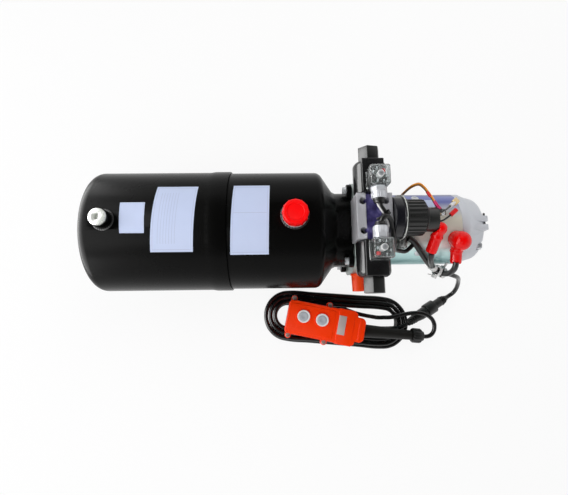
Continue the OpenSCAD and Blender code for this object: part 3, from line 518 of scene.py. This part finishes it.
def ease_edges(piece, width, segments=2, angle=35):
    """Rounds the sharp edges over a width in millimetres."""
    if width:
        refine(
            piece, "BEVEL", width=width * MM, segments=segments, limit_method="ANGLE",
            angle_limit=math.radians(angle), use_clamp_overlap=False,
        )
    soften(piece)


def cad_copy(name, *nodes):
    """A copy of CAD nodes to work on: one mesh, with its doubles merged and its flat faces joined."""
    hold(*[NODES[node] for node in nodes])
    bpy.ops.object.duplicate()
    if len(nodes) > 1:
        bpy.ops.object.join()
    piece = bpy.context.object
    bpy.ops.object.parent_clear(type="CLEAR")
    piece.name = name
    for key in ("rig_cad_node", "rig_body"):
        del piece[key]
    piece.data.materials.clear()
    bpy.ops.mesh.customdata_custom_splitnormals_clear()
    bpy.ops.object.mode_set(mode="EDIT")
    bpy.ops.mesh.select_all(action="SELECT")
    bpy.ops.mesh.remove_doubles(threshold=0.00001)
    bpy.ops.mesh.dissolve_limited(angle_limit=math.radians(1.5))
    bpy.ops.object.mode_set(mode="OBJECT")
    return piece


def fit(piece, finish, body="unit", replaces=(), slot=None):
    """Gives a piece its finish and the body that it rides on, and hides the CAD nodes that it stands in for.
    """
    piece.data.materials.clear()
    piece.data.materials.append(FINISHES[finish])
    if body:
        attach(piece, body)
    slot or finish in SLOTS
    if replaces:
        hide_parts(*replaces)
    return piece


def dress(node, width=0.5, segments=2, angle=35, finish=None):
    """Stands a copy with eased edges in for a CAD node."""
    piece = cad_copy(node + "_dressed", node)
    ease_edges(piece, width, segments, angle)
    return fit(piece, finish or SLOT_OF[node], BODY_OF[node], [node], SLOT_OF[node])


def new_primitive(name, operator, **settings):
    """Adds a primitive with nothing else selected."""
    free_hands()
    operator(**settings)
    piece = bpy.context.object
    piece.name = name
    return piece


def turned(name, profile, sides=48):
    """Draws a round body out of a disc along Z, ring by ring. The profile holds radius and height."""
    radius, height = profile[0]
    piece = new_primitive(
        name, bpy.ops.mesh.primitive_circle_add, vertices=sides, radius=radius * MM, fill_type="NGON"
    )
    bpy.ops.object.mode_set(mode="EDIT")
    bpy.ops.mesh.select_all(action="SELECT")
    bpy.ops.transform.translate(value=(0, 0, height * MM))
    for next_radius, next_height in profile[1:]:
        step = (0, 0, (next_height - height) * MM)
        bpy.ops.mesh.extrude_region_move(TRANSFORM_OT_translate={"value": step})
        share = next_radius / radius
        bpy.ops.transform.resize(value=(share, share, 1), center_override=(0, 0, next_height * MM))
        radius, height = next_radius, next_height
    bpy.ops.mesh.select_all(action="SELECT")
    bpy.ops.mesh.normals_make_consistent(inside=False)
    bpy.ops.object.mode_set(mode="OBJECT")
    soften(piece)
    return piece


def slab(name, size, edge=0.5, segments=2):
    """A block with rounded edges, about its own middle."""
    piece = new_primitive(name, bpy.ops.mesh.primitive_cube_add, size=1)
    piece.scale = [length * MM for length in size]
    bpy.ops.object.transform_apply(scale=True)
    bpy.ops.object.mode_set(mode="EDIT")
    bpy.ops.mesh.select_all(action="SELECT")
    bpy.ops.mesh.bevel(offset=edge * MM, segments=segments, affect="EDGES")
    bpy.ops.object.mode_set(mode="OBJECT")
    soften(piece)
    return piece


def band(name, radius, width, thickness, sides=48):
    """An open ring of a given wall, along Z about its own middle."""
    piece = new_primitive(
        name, bpy.ops.mesh.primitive_cylinder_add, vertices=sides, radius=radius * MM, depth=width * MM,
        end_fill_type="NOTHING",
    )
    refine(piece, "SOLIDIFY", thickness=thickness * MM, offset=1)
    soften(piece)
    return piece


def stand(piece, place, direction=(0, 0, 1), spin=0):
    """Puts a piece that was made along Z at a place, along a direction, and keeps that in its mesh."""
    turn = Vector(direction).to_track_quat("Z", "Y").to_matrix().to_4x4()
    move(piece, Matrix.Translation(place) @ turn @ turn_z(spin))
    return piece


def move(piece, matrix):
    """Puts a piece in a frame and keeps that in its mesh."""
    piece.matrix_world = matrix
    hold(piece)
    bpy.ops.object.transform_apply(location=True, rotation=True, scale=True)
    return piece


def join(name, *pieces):
    """Joins pieces into the first one."""
    hold(*pieces)
    bpy.ops.object.join()
    bpy.context.object.name = name
    return bpy.context.object


def strand(name, points, radius, roundness=3):
    """A smooth round strand through its points. Its roundness is Blender's bevel resolution."""
    curve = bpy.data.curves.new(name, "CURVE")
    curve.dimensions = "3D"
    curve.bevel_depth = radius * MM
    curve.bevel_resolution = roundness
    curve.resolution_u = 6
    curve.use_fill_caps = True
    spline = curve.splines.new("BEZIER")
    spline.bezier_points.add(len(points) - 1)
    for knot, point in zip(spline.bezier_points, points):
        knot.co = point
        knot.handle_left_type = "AUTO"
        knot.handle_right_type = "AUTO"
    piece = bpy.data.objects.new(name, curve)
    bpy.context.scene.collection.objects.link(piece)
    return piece


def wire(name, points, radius, finish, slot=None, replaces=()):
    """A wire that the unit holds all the way."""
    return fit(strand(name, line(points), radius), finish, "unit", replaces, slot)


def aside(points, dx, dy, dz):
    """The same route a little to one side."""
    return [(x + dx, y + dy, z + dz) for x, y, z in points]


def label(name, finish, corners, angles, radius, thickness):
    """A sheet stuck on a round wall. Corners are its left and right ends at the lower and the upper edge."""
    piece = new_primitive(
        name, bpy.ops.mesh.primitive_grid_add, x_subdivisions=6, y_subdivisions=40, size=1, calc_uvs=True
    )
    (left_low, right_low), (left_high, right_high) = corners
    for vertex in piece.data.vertices:
        u = vertex.co.x + 0.5
        v = vertex.co.y + 0.5
        angle = math.radians(angles[0] + (angles[1] - angles[0]) * v)
        low = left_low + (right_low - left_low) * u
        high = left_high + (right_high - left_high) * u
        vertex.co = at(low + (high - low) * v, radius * math.sin(angle), radius * math.cos(angle))
    refine(piece, "SOLIDIFY", thickness=thickness, offset=1)
    soften(piece)
    return fit(piece, finish, "unit", (), "clear_plastic")


def screw_head(name, radius, height, socket, place, direction, finish):
    """A round screw head with a socket."""
    piece = turned(name, [
        (radius, -0.3), (radius, height - 0.5), (radius - 0.5, height), (socket, height),
        (socket * 0.9, height * 0.35),
    ], 24)
    return fit(stand(piece, place, direction), finish)


def tie(name, place, direction, radius, spin, tail):
    """A cable tie: its band, its head and its cut tail."""
    loop = band(name, radius, 4.6, 1.1, 32)
    head = slab(name + "_head", (5.2, 5.6, 6.4), 0.7)
    move(head, Matrix.Translation(Vector((radius + 2.4, 0, 0)) * MM))
    end = slab(name + "_tail", (1.2, tail, 3.4), 0.3)
    move(end, Matrix.Translation(Vector((radius + 2.6, tail / 2 + 2, 0)) * MM) @ turn_z(-16))
    return stand(join(name, loop, head, end), place, direction, spin)


class POWER_UNIT_OT_finishes(bpy.types.Operator):
    """Make the finishes and lay them on every CAD node"""

    bl_idname = "power_unit.finishes"
    bl_label = "Finishes"

    def execute(self, context):
        colours = context.scene.power_unit_colours
        make_plain_finishes(colours)
        make_metal_finishes()
        make_valve_finish()
        make_label_finishes(colours)
        for node, piece in NODES.items():
            piece.data.materials.clear()
            piece.data.materials.append(FINISHES[SLOT_OF[node]])
        return {"FINISHED"}


class POWER_UNIT_OT_camera(bpy.types.Operator):
    """Add the camera at the photograph's view"""

    bl_idname = "power_unit.camera"
    bl_label = "Camera"

    def execute(self, context):
        turn = math.radians(-5.92)
        rise = math.radians(81.0)
        roll = math.radians(5.26)
        back = Vector((
            math.sin(turn) * math.cos(rise), -math.cos(turn) * math.cos(rise), math.sin(rise)
        ))
        right = (-back).cross(Vector((0, 0, 1))).normalized()
        up = right.cross(-back)
        side = math.cos(roll) * right + math.sin(roll) * up
        top = math.cos(roll) * up - math.sin(roll) * right
        free_hands()
        bpy.ops.object.camera_add()
        camera = context.object
        camera.name = "photo_camera"
        camera.data.lens = 25.35
        camera.data.sensor_width = 36
        camera.data.clip_start = 0.01
        turned_frame = Matrix((side, top, back)).transposed().to_4x4()
        camera.matrix_world = Matrix.Translation((-0.134, -0.1223, 0.6717)) @ turned_frame
        context.scene.camera = camera
        return {"FINISHED"}


class POWER_UNIT_OT_cords(bpy.types.Operator):
    """Add the control cord, the connector, the pendant's bundled cord, its sleeve and its nut"""

    bl_idname = "power_unit.cords"
    bl_label = "Cords"

    def execute(self, context):
        sizes = context.scene.power_unit_sizes
        connector = dress("inline_connector", 0.7, 3)
        heading = 209.6
        rise = 10.1
        lean = Matrix.Rotation(math.radians(90 - rise), 4, "Y")
        ribs = Matrix.Translation(at(*CONTROL[-1])) @ turn_z(heading) @ lean
        rings = []
        for k, height in enumerate((6, 9, 12, 72, 76, 80)):
            radius = 4.9 + 0.21 * height if height < 40 else 7.5 - 0.11 * (height - 66)
            ring = band("connector_rib_%d" % k, radius - 0.4, 1.5, 0.9, 24)
            rings.append(move(ring, ribs @ Matrix.Translation((0, 0, height * MM))))
        collar = fit(join("connector_ribs", *rings), "cord_rubber")
        radius = sizes.cord_d / 2 / MM
        control = strand("control_cord_run", line(CONTROL), radius, 5)
        fit(control, "cord_rubber", "unit", ["control_cord"])
        at(*CONTROL[0])
        sleeve = dress("cord_sleeve", 0.8, 3)
        nut = dress("sleeve_nut", 0.4)
        route = [HANK @ (Vector(point) * MM) for point in HANK_ENTRY + hank_loops() + HANK_EXIT + LEAD_END]
        cable = strand("pendant_cord_run", route, radius, 5)
        fit(cable, "cord_rubber", "unit", ["cord_hank", "pendant_lead"])
        return {"FINISHED"}


class POWER_UNIT_OT_tank(bpy.types.Operator):
    """Dress the tank, its bung, its filler and its blank labels"""

    bl_idname = "power_unit.tank"
    bl_label = "Tank"

    def execute(self, context):
        sizes = context.scene.power_unit_sizes
        dress("tank_rear_shell", 0.4, 2, 50)
        dress("tank_front_shell", 0.5, 2, 50)
        dress("port_bung", 0.9, 3)
        dress("port_bung_plug", 0.5, 2)
        dress("filler_base", 0.5, 2)
        dress("filler_cap", 0.7, 3)
        dress("tank_bolts", 0.4)
        for name, x, y, rise, radius in (
            ("bung_weld", -366, 0, 89.4, 13.4), ("filler_weld", -110, 4.5, 88.0, 18.2),
        ):
            bead = new_primitive(
                name, bpy.ops.mesh.primitive_torus_add, major_segments=120, minor_segments=12,
                major_radius=radius * MM, minor_radius=1.7 * MM,
            )
            for vertex in bead.data.vertices:
                angle = math.atan2(vertex.co.y, vertex.co.x)
                vertex.co.z += 0.0003 * math.sin(30 * angle)
                vertex.co.z -= (vertex.co.y + y * MM) ** 2 / 2 / (TANK_R * MM)
            fit(move(bead, Matrix.Translation(at(x, y, rise))), "weld_black", "unit", (), "tank_paint")
        for name, finish, corners, angles, radius in (
            ("label_a", "label_small", ((-343.5, -311), (-345, -311.6)), (-11.8, 15.4), 90.05),
            ("label_b", "label_ruled", ((-304.5, -247.5), (-298.5, -242.5)), (-28.5, 32.6), 90.05),
            ("label_c", "label_halved", ((-198, -146), (-194, -144)), (-32, 34.5), 88.75),
        ):
            label(name, finish, corners, angles, radius, sizes.label_thickness)
        return {"FINISHED"}


class POWER_UNIT_OT_manifold(bpy.types.Operator):
    """Dress the manifold block, its plugs and its relief valve"""

    bl_idname = "power_unit.manifold"
    bl_label = "Manifold"

    def execute(self, context):
        dress("manifold_block", 0.7, 2)
        dress("port_plugs", 0.6, 3)
        dress("relief_valve", 0.4)
        return {"FINISHED"}


class POWER_UNIT_OT_valve(bpy.types.Operator):
    """Dress the directional valve, its coils, its clear plugs and its leads"""

    bl_idname = "power_unit.valve"
    bl_label = "Directional valve"

    def execute(self, context):
        dress("valve_body", 0.6, 2)
        dress("valve_bolts", 0.3)
        dress("solenoid_coils", 1.1, 3, 30)
        dress("coil_nuts", 0.8, 2, 30)
        dress("din_glands", 0.35)
        for side in (1, -1):
            word = "rear" if side > 0 else "front"
            self.plug(word, side)
            self.spring(word, side)
        wire("valve_lead_rear", REAR_LEAD, 3, "lead_rubber", None, ["valve_leads"])
        wire("valve_lead_front", FRONT_LEAD, 3, "lead_rubber")
        wire("valve_lead_core", aside(REAR_LEAD[1:7], -3.6, 0, 0.8), 1.3, "white_tie")
        clip = tie("lead_tie", at(6.2, -0.6, 112.4), (0.55, -0.7, -0.35), 4.6, 150, 9)
        fit(clip, "lead_rubber")
        return {"FINISHED"}

    def spring(self, word, side):
        """A centring spring: its outer end sits in the core tube and its inner end at the spool's end."""
        coils = []
        coil_r = 5.5
        turns = 3
        steps = 16
        for k in range(turns * steps + 1):
            angle = math.radians(360 / steps * k)
            climb = min(max((k - steps / 2) / (2 * steps), 0), 1)
            x = VALVE_X + coil_r * math.cos(angle)
            coils.append((x, (20.8 + 6.4 * climb) * side, SPOOL_H + coil_r * math.sin(angle)))
        piece = strand("centring_spring_" + word, line(coils), 0.6, 2)
        hold(piece)
        bpy.ops.object.convert(target="MESH")
        soften(piece)
        slot = SLOT_OF["centring_springs"]
        fit(piece, slot, None, ["centring_springs"], slot)
        outer = at(VALVE_X, 27.9 * side, SPOOL_H)
        inner = at(VALVE_X, 20.1 * side, SPOOL_H)
        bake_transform(piece)

    def plug(self, word, side):
        """A clear connector with its insert, board and terminals inside."""
        y = 47 * side
        low = 101.4
        high = 131

        def inside(dx, dy, height):
            return Matrix.Translation(at(PLUG_X + dx * side, y + dy * side, height))

        shell = slab("din_shell_" + word, (26, 26, high - low), 2.4, 3)
        bpy.ops.object.mode_set(mode="EDIT")
        bpy.ops.mesh.select_all(action="SELECT")
        bpy.ops.mesh.bisect(
            plane_co=(0, 0, -0.0128), plane_no=(0, 0, 1), clear_inner=True, clear_outer=False, use_fill=False
        )
        bpy.ops.object.mode_set(mode="OBJECT")
        refine(shell, "SOLIDIFY", thickness=1.3 * MM, offset=-1)
        soften(shell)
        move(shell, inside(0, 0, (low + high) / 2))
        fit(shell, "clear_plastic", "unit", ["din_housings"])
        insert = slab("din_insert_" + word, (22.4, 22.4, 11), 1.2)
        fit(move(insert, inside(0, 0, 107)), "black_nylon")
        board = slab("din_board_" + word, (18, 17, 1.4), 0.3)
        fit(move(board, inside(0, 0, 117)), "board_green", "unit", (), "clear_plastic")
        block = slab("din_lamp_" + word, (5, 4.6, 5), 0.8)
        fit(move(block, inside(5.6, 6.4, 121)), "red_sleeve", "unit", (), "red_boot")
        parts = []
        places = ((-6.5, 6, 9), (-6.5, -5, 8), (6.8, -5, 9.5), (0.4, 8.2, 9), (-8, 0.6, 7), (1, -8, 9.5))
        for k, (dx, dy, tall) in enumerate(places):
            chip = slab("din_chip_%s_%d" % (word, k), (4.6, 3.6, tall), 0.5)
            parts.append(move(chip, inside(dx, dy, 117.6 + tall / 2)))
        fit(join("din_parts_" + word, *parts), "black_nylon")
        clips = []
        for k, (dx, dy) in enumerate(((-3.4, -8), (7.6, 0.4), (-8.6, 3.4), (4.4, -8.4), (-3.6, 8.4))):
            clip = slab("din_clip_%s_%d" % (word, k), (1.6, 3.4, 4), 0.3)
            clips.append(move(clip, inside(dx, dy, 125.4)))
        fit(join("din_clips_" + word, *clips), "zinc_steel")
        boss = turned("din_boss_" + word, [(4.4, 12), (4.4, 30.2), (4.0, 30.7), (3.6, 30.7), (3.5, 29.2)], 32)
        fit(stand(boss, at(PLUG_X, y, 101.9)), "white_button", "unit", (), "clear_plastic")
        bush = turned("din_bush_" + word, [(7.9, 0), (7.9, 2.5), (6.6, 4), (6.2, 6.4), (4.2, 7)], 32)
        fit(stand(bush, at(PLUG_X, 18.4 * side, GLAND_H), (0, -side, 0)), "lead_rubber")
        knurls = []
        gland_r = 9.3
        for k in range(24):
            rib = slab("gland_rib_%s_%d" % (word, k), (0.9, 0.9, 7.5), 0.25, 1)
            angle = math.radians(15 * k)
            spot = at(PLUG_X + gland_r * math.cos(angle), 22.8 * side, GLAND_H + gland_r * math.sin(angle))
            knurls.append(stand(rib, spot, (0, 1, 0), 15 * k))
        fit(join("gland_ribs_" + word, *knurls), "chrome_plate")


class POWER_UNIT_OT_motor(bpy.types.Operator):
    """Dress the motor, its end cap, its screws and its blank plate"""

    bl_idname = "power_unit.motor"
    bl_label = "Motor"

    def execute(self, context):
        dress("motor_tube", 0.5, 2)
        dress("motor_flange", 0.8, 2)
        dress("motor_end_cap", 1.2, 3)
        dress("through_bolts", 0.4)
        for k, angle in enumerate((51, 129, 231, 309)):
            turn = math.radians(angle)
            out = (0, -math.sin(turn), math.cos(turn))
            place = at(72.5, 53.2 * out[1], 53.2 * out[2])
            screw_head("pole_screw_%d" % k, 5.7, 0.9, 2.6, place, out, "zinc_steel")
        for k, y in enumerate((-0.2, 13.4)):
            screw_head("end_screw_%d" % k, 2.6, 1.8, 1.2, at(169.6, y, 41), (1, 0, 0.25), "black_steel")
        thickness = context.scene.power_unit_sizes.label_thickness
        label("motor_plate", "label_small", ((75, 96), (74, 95)), (24, 43), 54.05, thickness)
        return {"FINISHED"}


class POWER_UNIT_OT_relay(bpy.types.Operator):
    """Dress the start relay, its crimped rim, its bracket and the red boots"""

    bl_idname = "power_unit.relay"
    bl_label = "Start relay"

    def execute(self, context):
        dress("relay_can", 0.8, 3)
        dress("relay_cap", 0.5, 2)
        dress("relay_bracket", 1.0, 2, 35, "bracket_casting")
        dress("terminal_studs", 0.3)
        rim = band("relay_rim", 28.6, 1.1, 1.1, 72)
        stand(rim, at(33.9, 0, RELAY_H), (1, 0, 0))
        tabs = [rim]
        for k in range(8):
            angle = math.radians(45 * k + 14)
            tab = slab("relay_tab_%d" % k, (1.2, 4.2, 3.2), 0.4)
            spot = at(33.2, 29.1 * math.cos(angle), RELAY_H + 29.1 * math.sin(angle))
            tabs.append(move(tab, Matrix.Translation(spot) @ Matrix.Rotation(angle, 4, "X")))
        fit(join("relay_rim", *tabs), "nickel_plate")
        boots = cad_copy("terminal_boots_dressed", "terminal_boots")
        refine(boots, "REMESH", mode="VOXEL", voxel_size=0.9 * MM)
        refine(boots, "SMOOTH", factor=0.5, iterations=12)
        soften(boots, 80)
        fit(boots, "red_boot", "unit", ["terminal_boots"])
        return {"FINISHED"}


class POWER_UNIT_OT_wiring(bpy.types.Operator):
    """Add the relay's thin wires, the heat-shrunk lead and the cable ties"""

    bl_idname = "power_unit.wiring"
    bl_label = "Wiring"

    def execute(self, context):
        wire("relay_wire_orange", aside(ORANGE_WIRE, 0, 0.9, 0.6), 1.15, "orange_wire", None, ["relay_wires"])
        wire("relay_wire_brown", aside(ORANGE_WIRE, 0, -1.1, -0.6), 1.15, "brown_wire", "orange_wire")
        wire("relay_sleeve_red", aside(ORANGE_WIRE[7:9], -0.6, -0.6, 0.2), 2.1, "red_sleeve", "red_boot")
        wire("relay_sleeve_magenta", aside(ORANGE_WIRE[9:], 0, 0, 0.2), 2.4, "magenta_sleeve", "red_boot")
        wire("spare_wire", SPARE_WIRE[:4], 1.2, "lead_rubber")
        wire("spare_sleeve", [(104, 16.6, 80.8), (109, 20.2, 76.4), (113.5, 23.4, 72.6)], 2.6, "white_tie")
        spade = slab("spare_spade", (15, 8.4, 4.2), 0.9)
        turn = turn_z(38) @ Matrix.Rotation(math.radians(38), 4, "Y")
        fit(move(spade, Matrix.Translation(at(117.2, 26.2, 69.2)) @ turn), "brass")
        second = [(80.5, -6, 88), (88, -5.2, 87), (96, -1, 86), (103, 4.2, 85.5)]
        wire("second_wire", second, 1.2, "lead_rubber")
        second_end = [(101.5, 3, 85.6), (105.5, 6.6, 85.8), (109.6, 10.2, 86)]
        wire("second_sleeve", second_end, 3.2, "red_sleeve", "red_boot")
        wire("left_battery_lead", [
            (79.6, -46.5, 66), (80.4, -51, 60.5), (83.5, -54.5, 50), (89, -57, 37), (96, -59.5, 22),
            (103, -62, 10),
        ], 4, "lead_rubber")
        wire("right_battery_lead", [
            (119.6, -57, 50.6), (119.6, -64, 46), (119.4, -69, 36), (118.8, -71, 22), (117, -70, 10),
            (110, -66, 0),
        ], 4.2, "lead_rubber")
        block = slab("terminal_block", (9, 8, 7), 1.0, 2)
        fit(move(block, Matrix.Translation(at(86.2, 4.6, 94))), "clear_plastic")
        wire("heat_shrink_run", HEAT_SHRINK, 4.4, "lead_rubber", None, ["heat_shrink_lead"])
        wire("bundle_tape", aside(HEAT_SHRINK[6:8], -1, -0.5, 2.5), 5.6, "white_tie")
        ties = [
            tie("bundle_tie_a", at(109.5, -65, 6), (8, -2.6, -4), 7.4, 200, 11),
            tie("bundle_tie_b", at(119.5, -68.2, 2.6), (7, -2.3, -1), 7.2, 330, 11),
        ]
        fit(join("bundle_ties", *ties), "white_tie", "unit", ["cable_ties"])
        return {"FINISHED"}


class POWER_UNIT_OT_pendant(bpy.types.Operator):
    """Dress the pendant's shells, buttons, screws and blank plate"""

    bl_idname = "power_unit.pendant"
    bl_label = "Pendant"

    def execute(self, context):
        dress("pendant_base", 1.0, 3)
        dress("pendant_cover", 1.3, 3)
        dress("up_button", 0.7, 3)
        dress("down_button", 0.7, 3)
        screws = dress("small_screws", 0.25, 2, 35, "dull_steel")
        screws.data.materials.append(FINISHES["zinc_steel"])
        plug_screws_above = 0.1
        for face in screws.data.polygons:
            face.material_index = int(face.center.z > plug_screws_above)
        for name, size, middle, edge in (
            ("pendant_plateau", (74, 45, 3), (-17, 0, 41.3), 1.3),
            ("pendant_shoulder", (27, 56.6, 21), (38, 0, 32.6), 1.6),
            ("pendant_end_lip", (4, 48, 3), (-53.2, 0, 41.4), 1.4),
            ("pendant_nose_step", (5, 34, 8), (61.5, 0, 38.6), 1.4),
        ):
            relief = slab(name, size, edge, 3)
            if name == "pendant_plateau":
                self.button_holes(relief, middle)
            fit(move(relief, self.inside(*middle)), "orange_shell")
        for word, u in BUTTON_U.items():
            profile = [(7.4, 44.6), (7.4, 45.9), (6.9, 46.3), (3.2, 46.3), (2.8, 46.0)]
            disc = turned("button_disc_" + word, profile, 40)
            fit(move(disc, self.inside(u, BUTTON_V, 0)), "grey_disc", word + "_key", (), "white_button")
        plate = slab("pendant_plate", (12, 30, 0.8), 0.3)
        fit(move(plate, self.inside(32, 2, 43.4)), "plate_grey", "unit", (), "zinc_steel")
        return {"FINISHED"}

    def inside(self, u, v, height):
        """A place in the pendant's own frame."""
        return PENDANT @ Matrix.Translation(Vector((u, v, height)) * MM)

    def button_holes(self, relief, middle):
        """Room for both buttons to move."""
        for u in BUTTON_U.values():
            cutter = turned("button_hole", [(10.5, -5), (10.5, 5)], 64)
            move(cutter, Matrix.Translation(Vector((u - middle[0], BUTTON_V - middle[1], 0)) * MM))
            refine(relief, "BOOLEAN", operation="DIFFERENCE", solver="EXACT", object=cutter)
            bpy.data.objects.remove(cutter)
        soften(relief)


class POWER_UNIT_OT_stage(bpy.types.Operator):
    """Add the floor, the soft lamps and the plain surroundings"""

    bl_idname = "power_unit.stage"
    bl_label = "Stage"

    def execute(self, context):
        floor = new_primitive("stage_floor", bpy.ops.mesh.primitive_plane_add, size=12)
        floor.location = (0, 0, CAD_BOX[0].z)
        ground = Finish("stage_white", Base_Color=(0.82, 0.82, 0.82, 1), Roughness=0.9)
        seen = self.seen(ground)
        glow = ground.node("ShaderNodeEmission", None, {"Strength": 1.0})
        output = ground.nodes["Material Output"]
        shadow = Value(ground, ground.surface.outputs[0])
        lit = ground.node("ShaderNodeMixShader", None, {0: seen * 0.88, 1: shadow, 2: glow})
        ground.links.new(lit.socket, output.inputs["Surface"])
        floor.data.materials.append(ground.material)
        self.surroundings(context)
        self.cards()
        self.lamp("key_lamp", (-0.35, -0.75, 1.2), 1.2, 0.9, 8.6)
        self.lamp("rear_lamp", (0.2, 0.85, 1.15), 1.1, 0.8, 8.0)
        self.lamp("left_lamp", (-1.2, -0.1, 0.9), 0.8, 0.8, 5.4)
        context.scene.view_settings.view_transform = "Standard"
        return {"FINISHED"}

    def seen(self, tree):
        """One where the camera, a mirror or a clear body sees the surroundings."""
        whole = tree.node("ShaderNodeLightPath")
        outs = whole.socket.node.outputs
        rays = [Value(tree, outs[name]) for name in ("Is Camera Ray", "Is Glossy Ray", "Is Transmission Ray")]
        total = rays[0] + rays[1] + rays[2]
        return total > 0.5

    def surroundings(self, context):
        """A white world to look at, and a softer one to light with."""
        world = bpy.data.worlds.new("stage_world")
        context.scene.world = world
        tree = Tree(world)
        sky = tree.nodes["Background"]
        sky.inputs["Color"].default_value = (1, 1, 1, 1)
        strength = self.seen(tree) * 0.5 + 0.5
        tree.links.new(strength.socket, sky.inputs["Strength"])

    def card(self, name, size, place, turn, shades, strength):
        """A card out of the camera's sight, with its glow from its middle to its rim."""
        card = new_primitive(name, bpy.ops.mesh.primitive_plane_add, size=1)
        card.scale = (*size, 1)
        card.location = place
        card.rotation_euler = (0, math.radians(turn), 0)
        card.visible_camera = False
        card.visible_transmission = False
        glow = Finish(name, Base_Color=(0, 0, 0, 1), Specular_IOR_Level=0.0, Emission_Strength=strength)
        x, y, _ = glow.axes()
        glow.feed("Emission Color", glow.ramp((x * x + y * y) * 4, *[(p, (v, v, v)) for p, v in shades]))
        card.data.materials.append(glow.material)
        return card

    def cards(self):
        """A dim ceiling, darkest overhead, and two bright cards on the left that only gloss shows."""
        shades = ((0, 0.02), (0.12, 0.04), (0.5, 0.3), (1, 0.8))
        self.card("stage_ceiling", (6, 6), (-0.13, -0.1, 1.8), 0, shades, 1.0)
        for name, size, place, strength in (
            ("stage_side", (1.15, 1.8), (-1.0, 0.05, 1.0), 4.0),
            ("stage_low_side", (0.42, 1.3), (-0.72, 0.05, 0.19), 9.0),
        ):
            side = self.card(name, size, place, 90, ((0, 1), (0.6, 1.0), (1, 0.8)), strength)
            side.visible_diffuse = False
            side.visible_shadow = False

    def lamp(self, name, place, tall, wide, power):
        """A soft lamp that looks at the unit's middle."""
        free_hands()
        bpy.ops.object.light_add(type="AREA", location=place)
        lamp = bpy.context.object
        lamp.name = name
        lamp.data.shape = "RECTANGLE"
        lamp.data.size = wide
        lamp.data.size_y = tall
        lamp.data.energy = power
        lamp.visible_camera = False
        lamp.visible_glossy = False
        aim = Vector((-0.1, -0.03, 0.08)) - Vector(place)
        lamp.rotation_euler = aim.to_track_quat("-Z", "Y").to_euler()


MAKERS = (
    POWER_UNIT_OT_finishes, POWER_UNIT_OT_camera, POWER_UNIT_OT_cords, POWER_UNIT_OT_tank,
    POWER_UNIT_OT_manifold, POWER_UNIT_OT_valve, POWER_UNIT_OT_motor, POWER_UNIT_OT_relay,
    POWER_UNIT_OT_wiring, POWER_UNIT_OT_pendant, POWER_UNIT_OT_stage,
)


class POWER_UNIT_PT_panel(bpy.types.Panel):
    """The power unit's makers and their settings"""

    bl_idname = "POWER_UNIT_PT_panel"
    bl_label = "Power unit"
    bl_space_type = "VIEW_3D"
    bl_region_type = "UI"
    bl_category = "Power unit"

    def draw(self, context):
        layout = self.layout
        for group in (context.scene.power_unit_sizes, context.scene.power_unit_colours):
            for name in group.bl_rna.properties.keys():
                if name not in ("rna_type", "name"):
                    layout.prop(group, name)
        for maker in MAKERS:
            layout.operator(maker.bl_idname)


CLASSES = (PowerUnitSizes, PowerUnitColours, *MAKERS, POWER_UNIT_PT_panel)


def register():
    for cls in CLASSES:
        bpy.utils.register_class(cls)
    bpy.types.Scene.power_unit_sizes = bpy.props.PointerProperty(type=PowerUnitSizes)
    bpy.types.Scene.power_unit_colours = bpy.props.PointerProperty(type=PowerUnitColours)


def unregister():
    del bpy.types.Scene.power_unit_colours
    del bpy.types.Scene.power_unit_sizes
    for cls in reversed(CLASSES):
        bpy.utils.unregister_class(cls)


def main():
    register()
    bpy.ops.power_unit.finishes()
    bpy.ops.power_unit.camera()
    bpy.ops.power_unit.cords()
    bpy.ops.power_unit.tank()
    bpy.ops.power_unit.manifold()
    bpy.ops.power_unit.valve()
    bpy.ops.power_unit.motor()
    bpy.ops.power_unit.relay()
    bpy.ops.power_unit.wiring()
    bpy.ops.power_unit.pendant()
    bpy.ops.power_unit.stage()


if __name__ == "__main__":
    main()
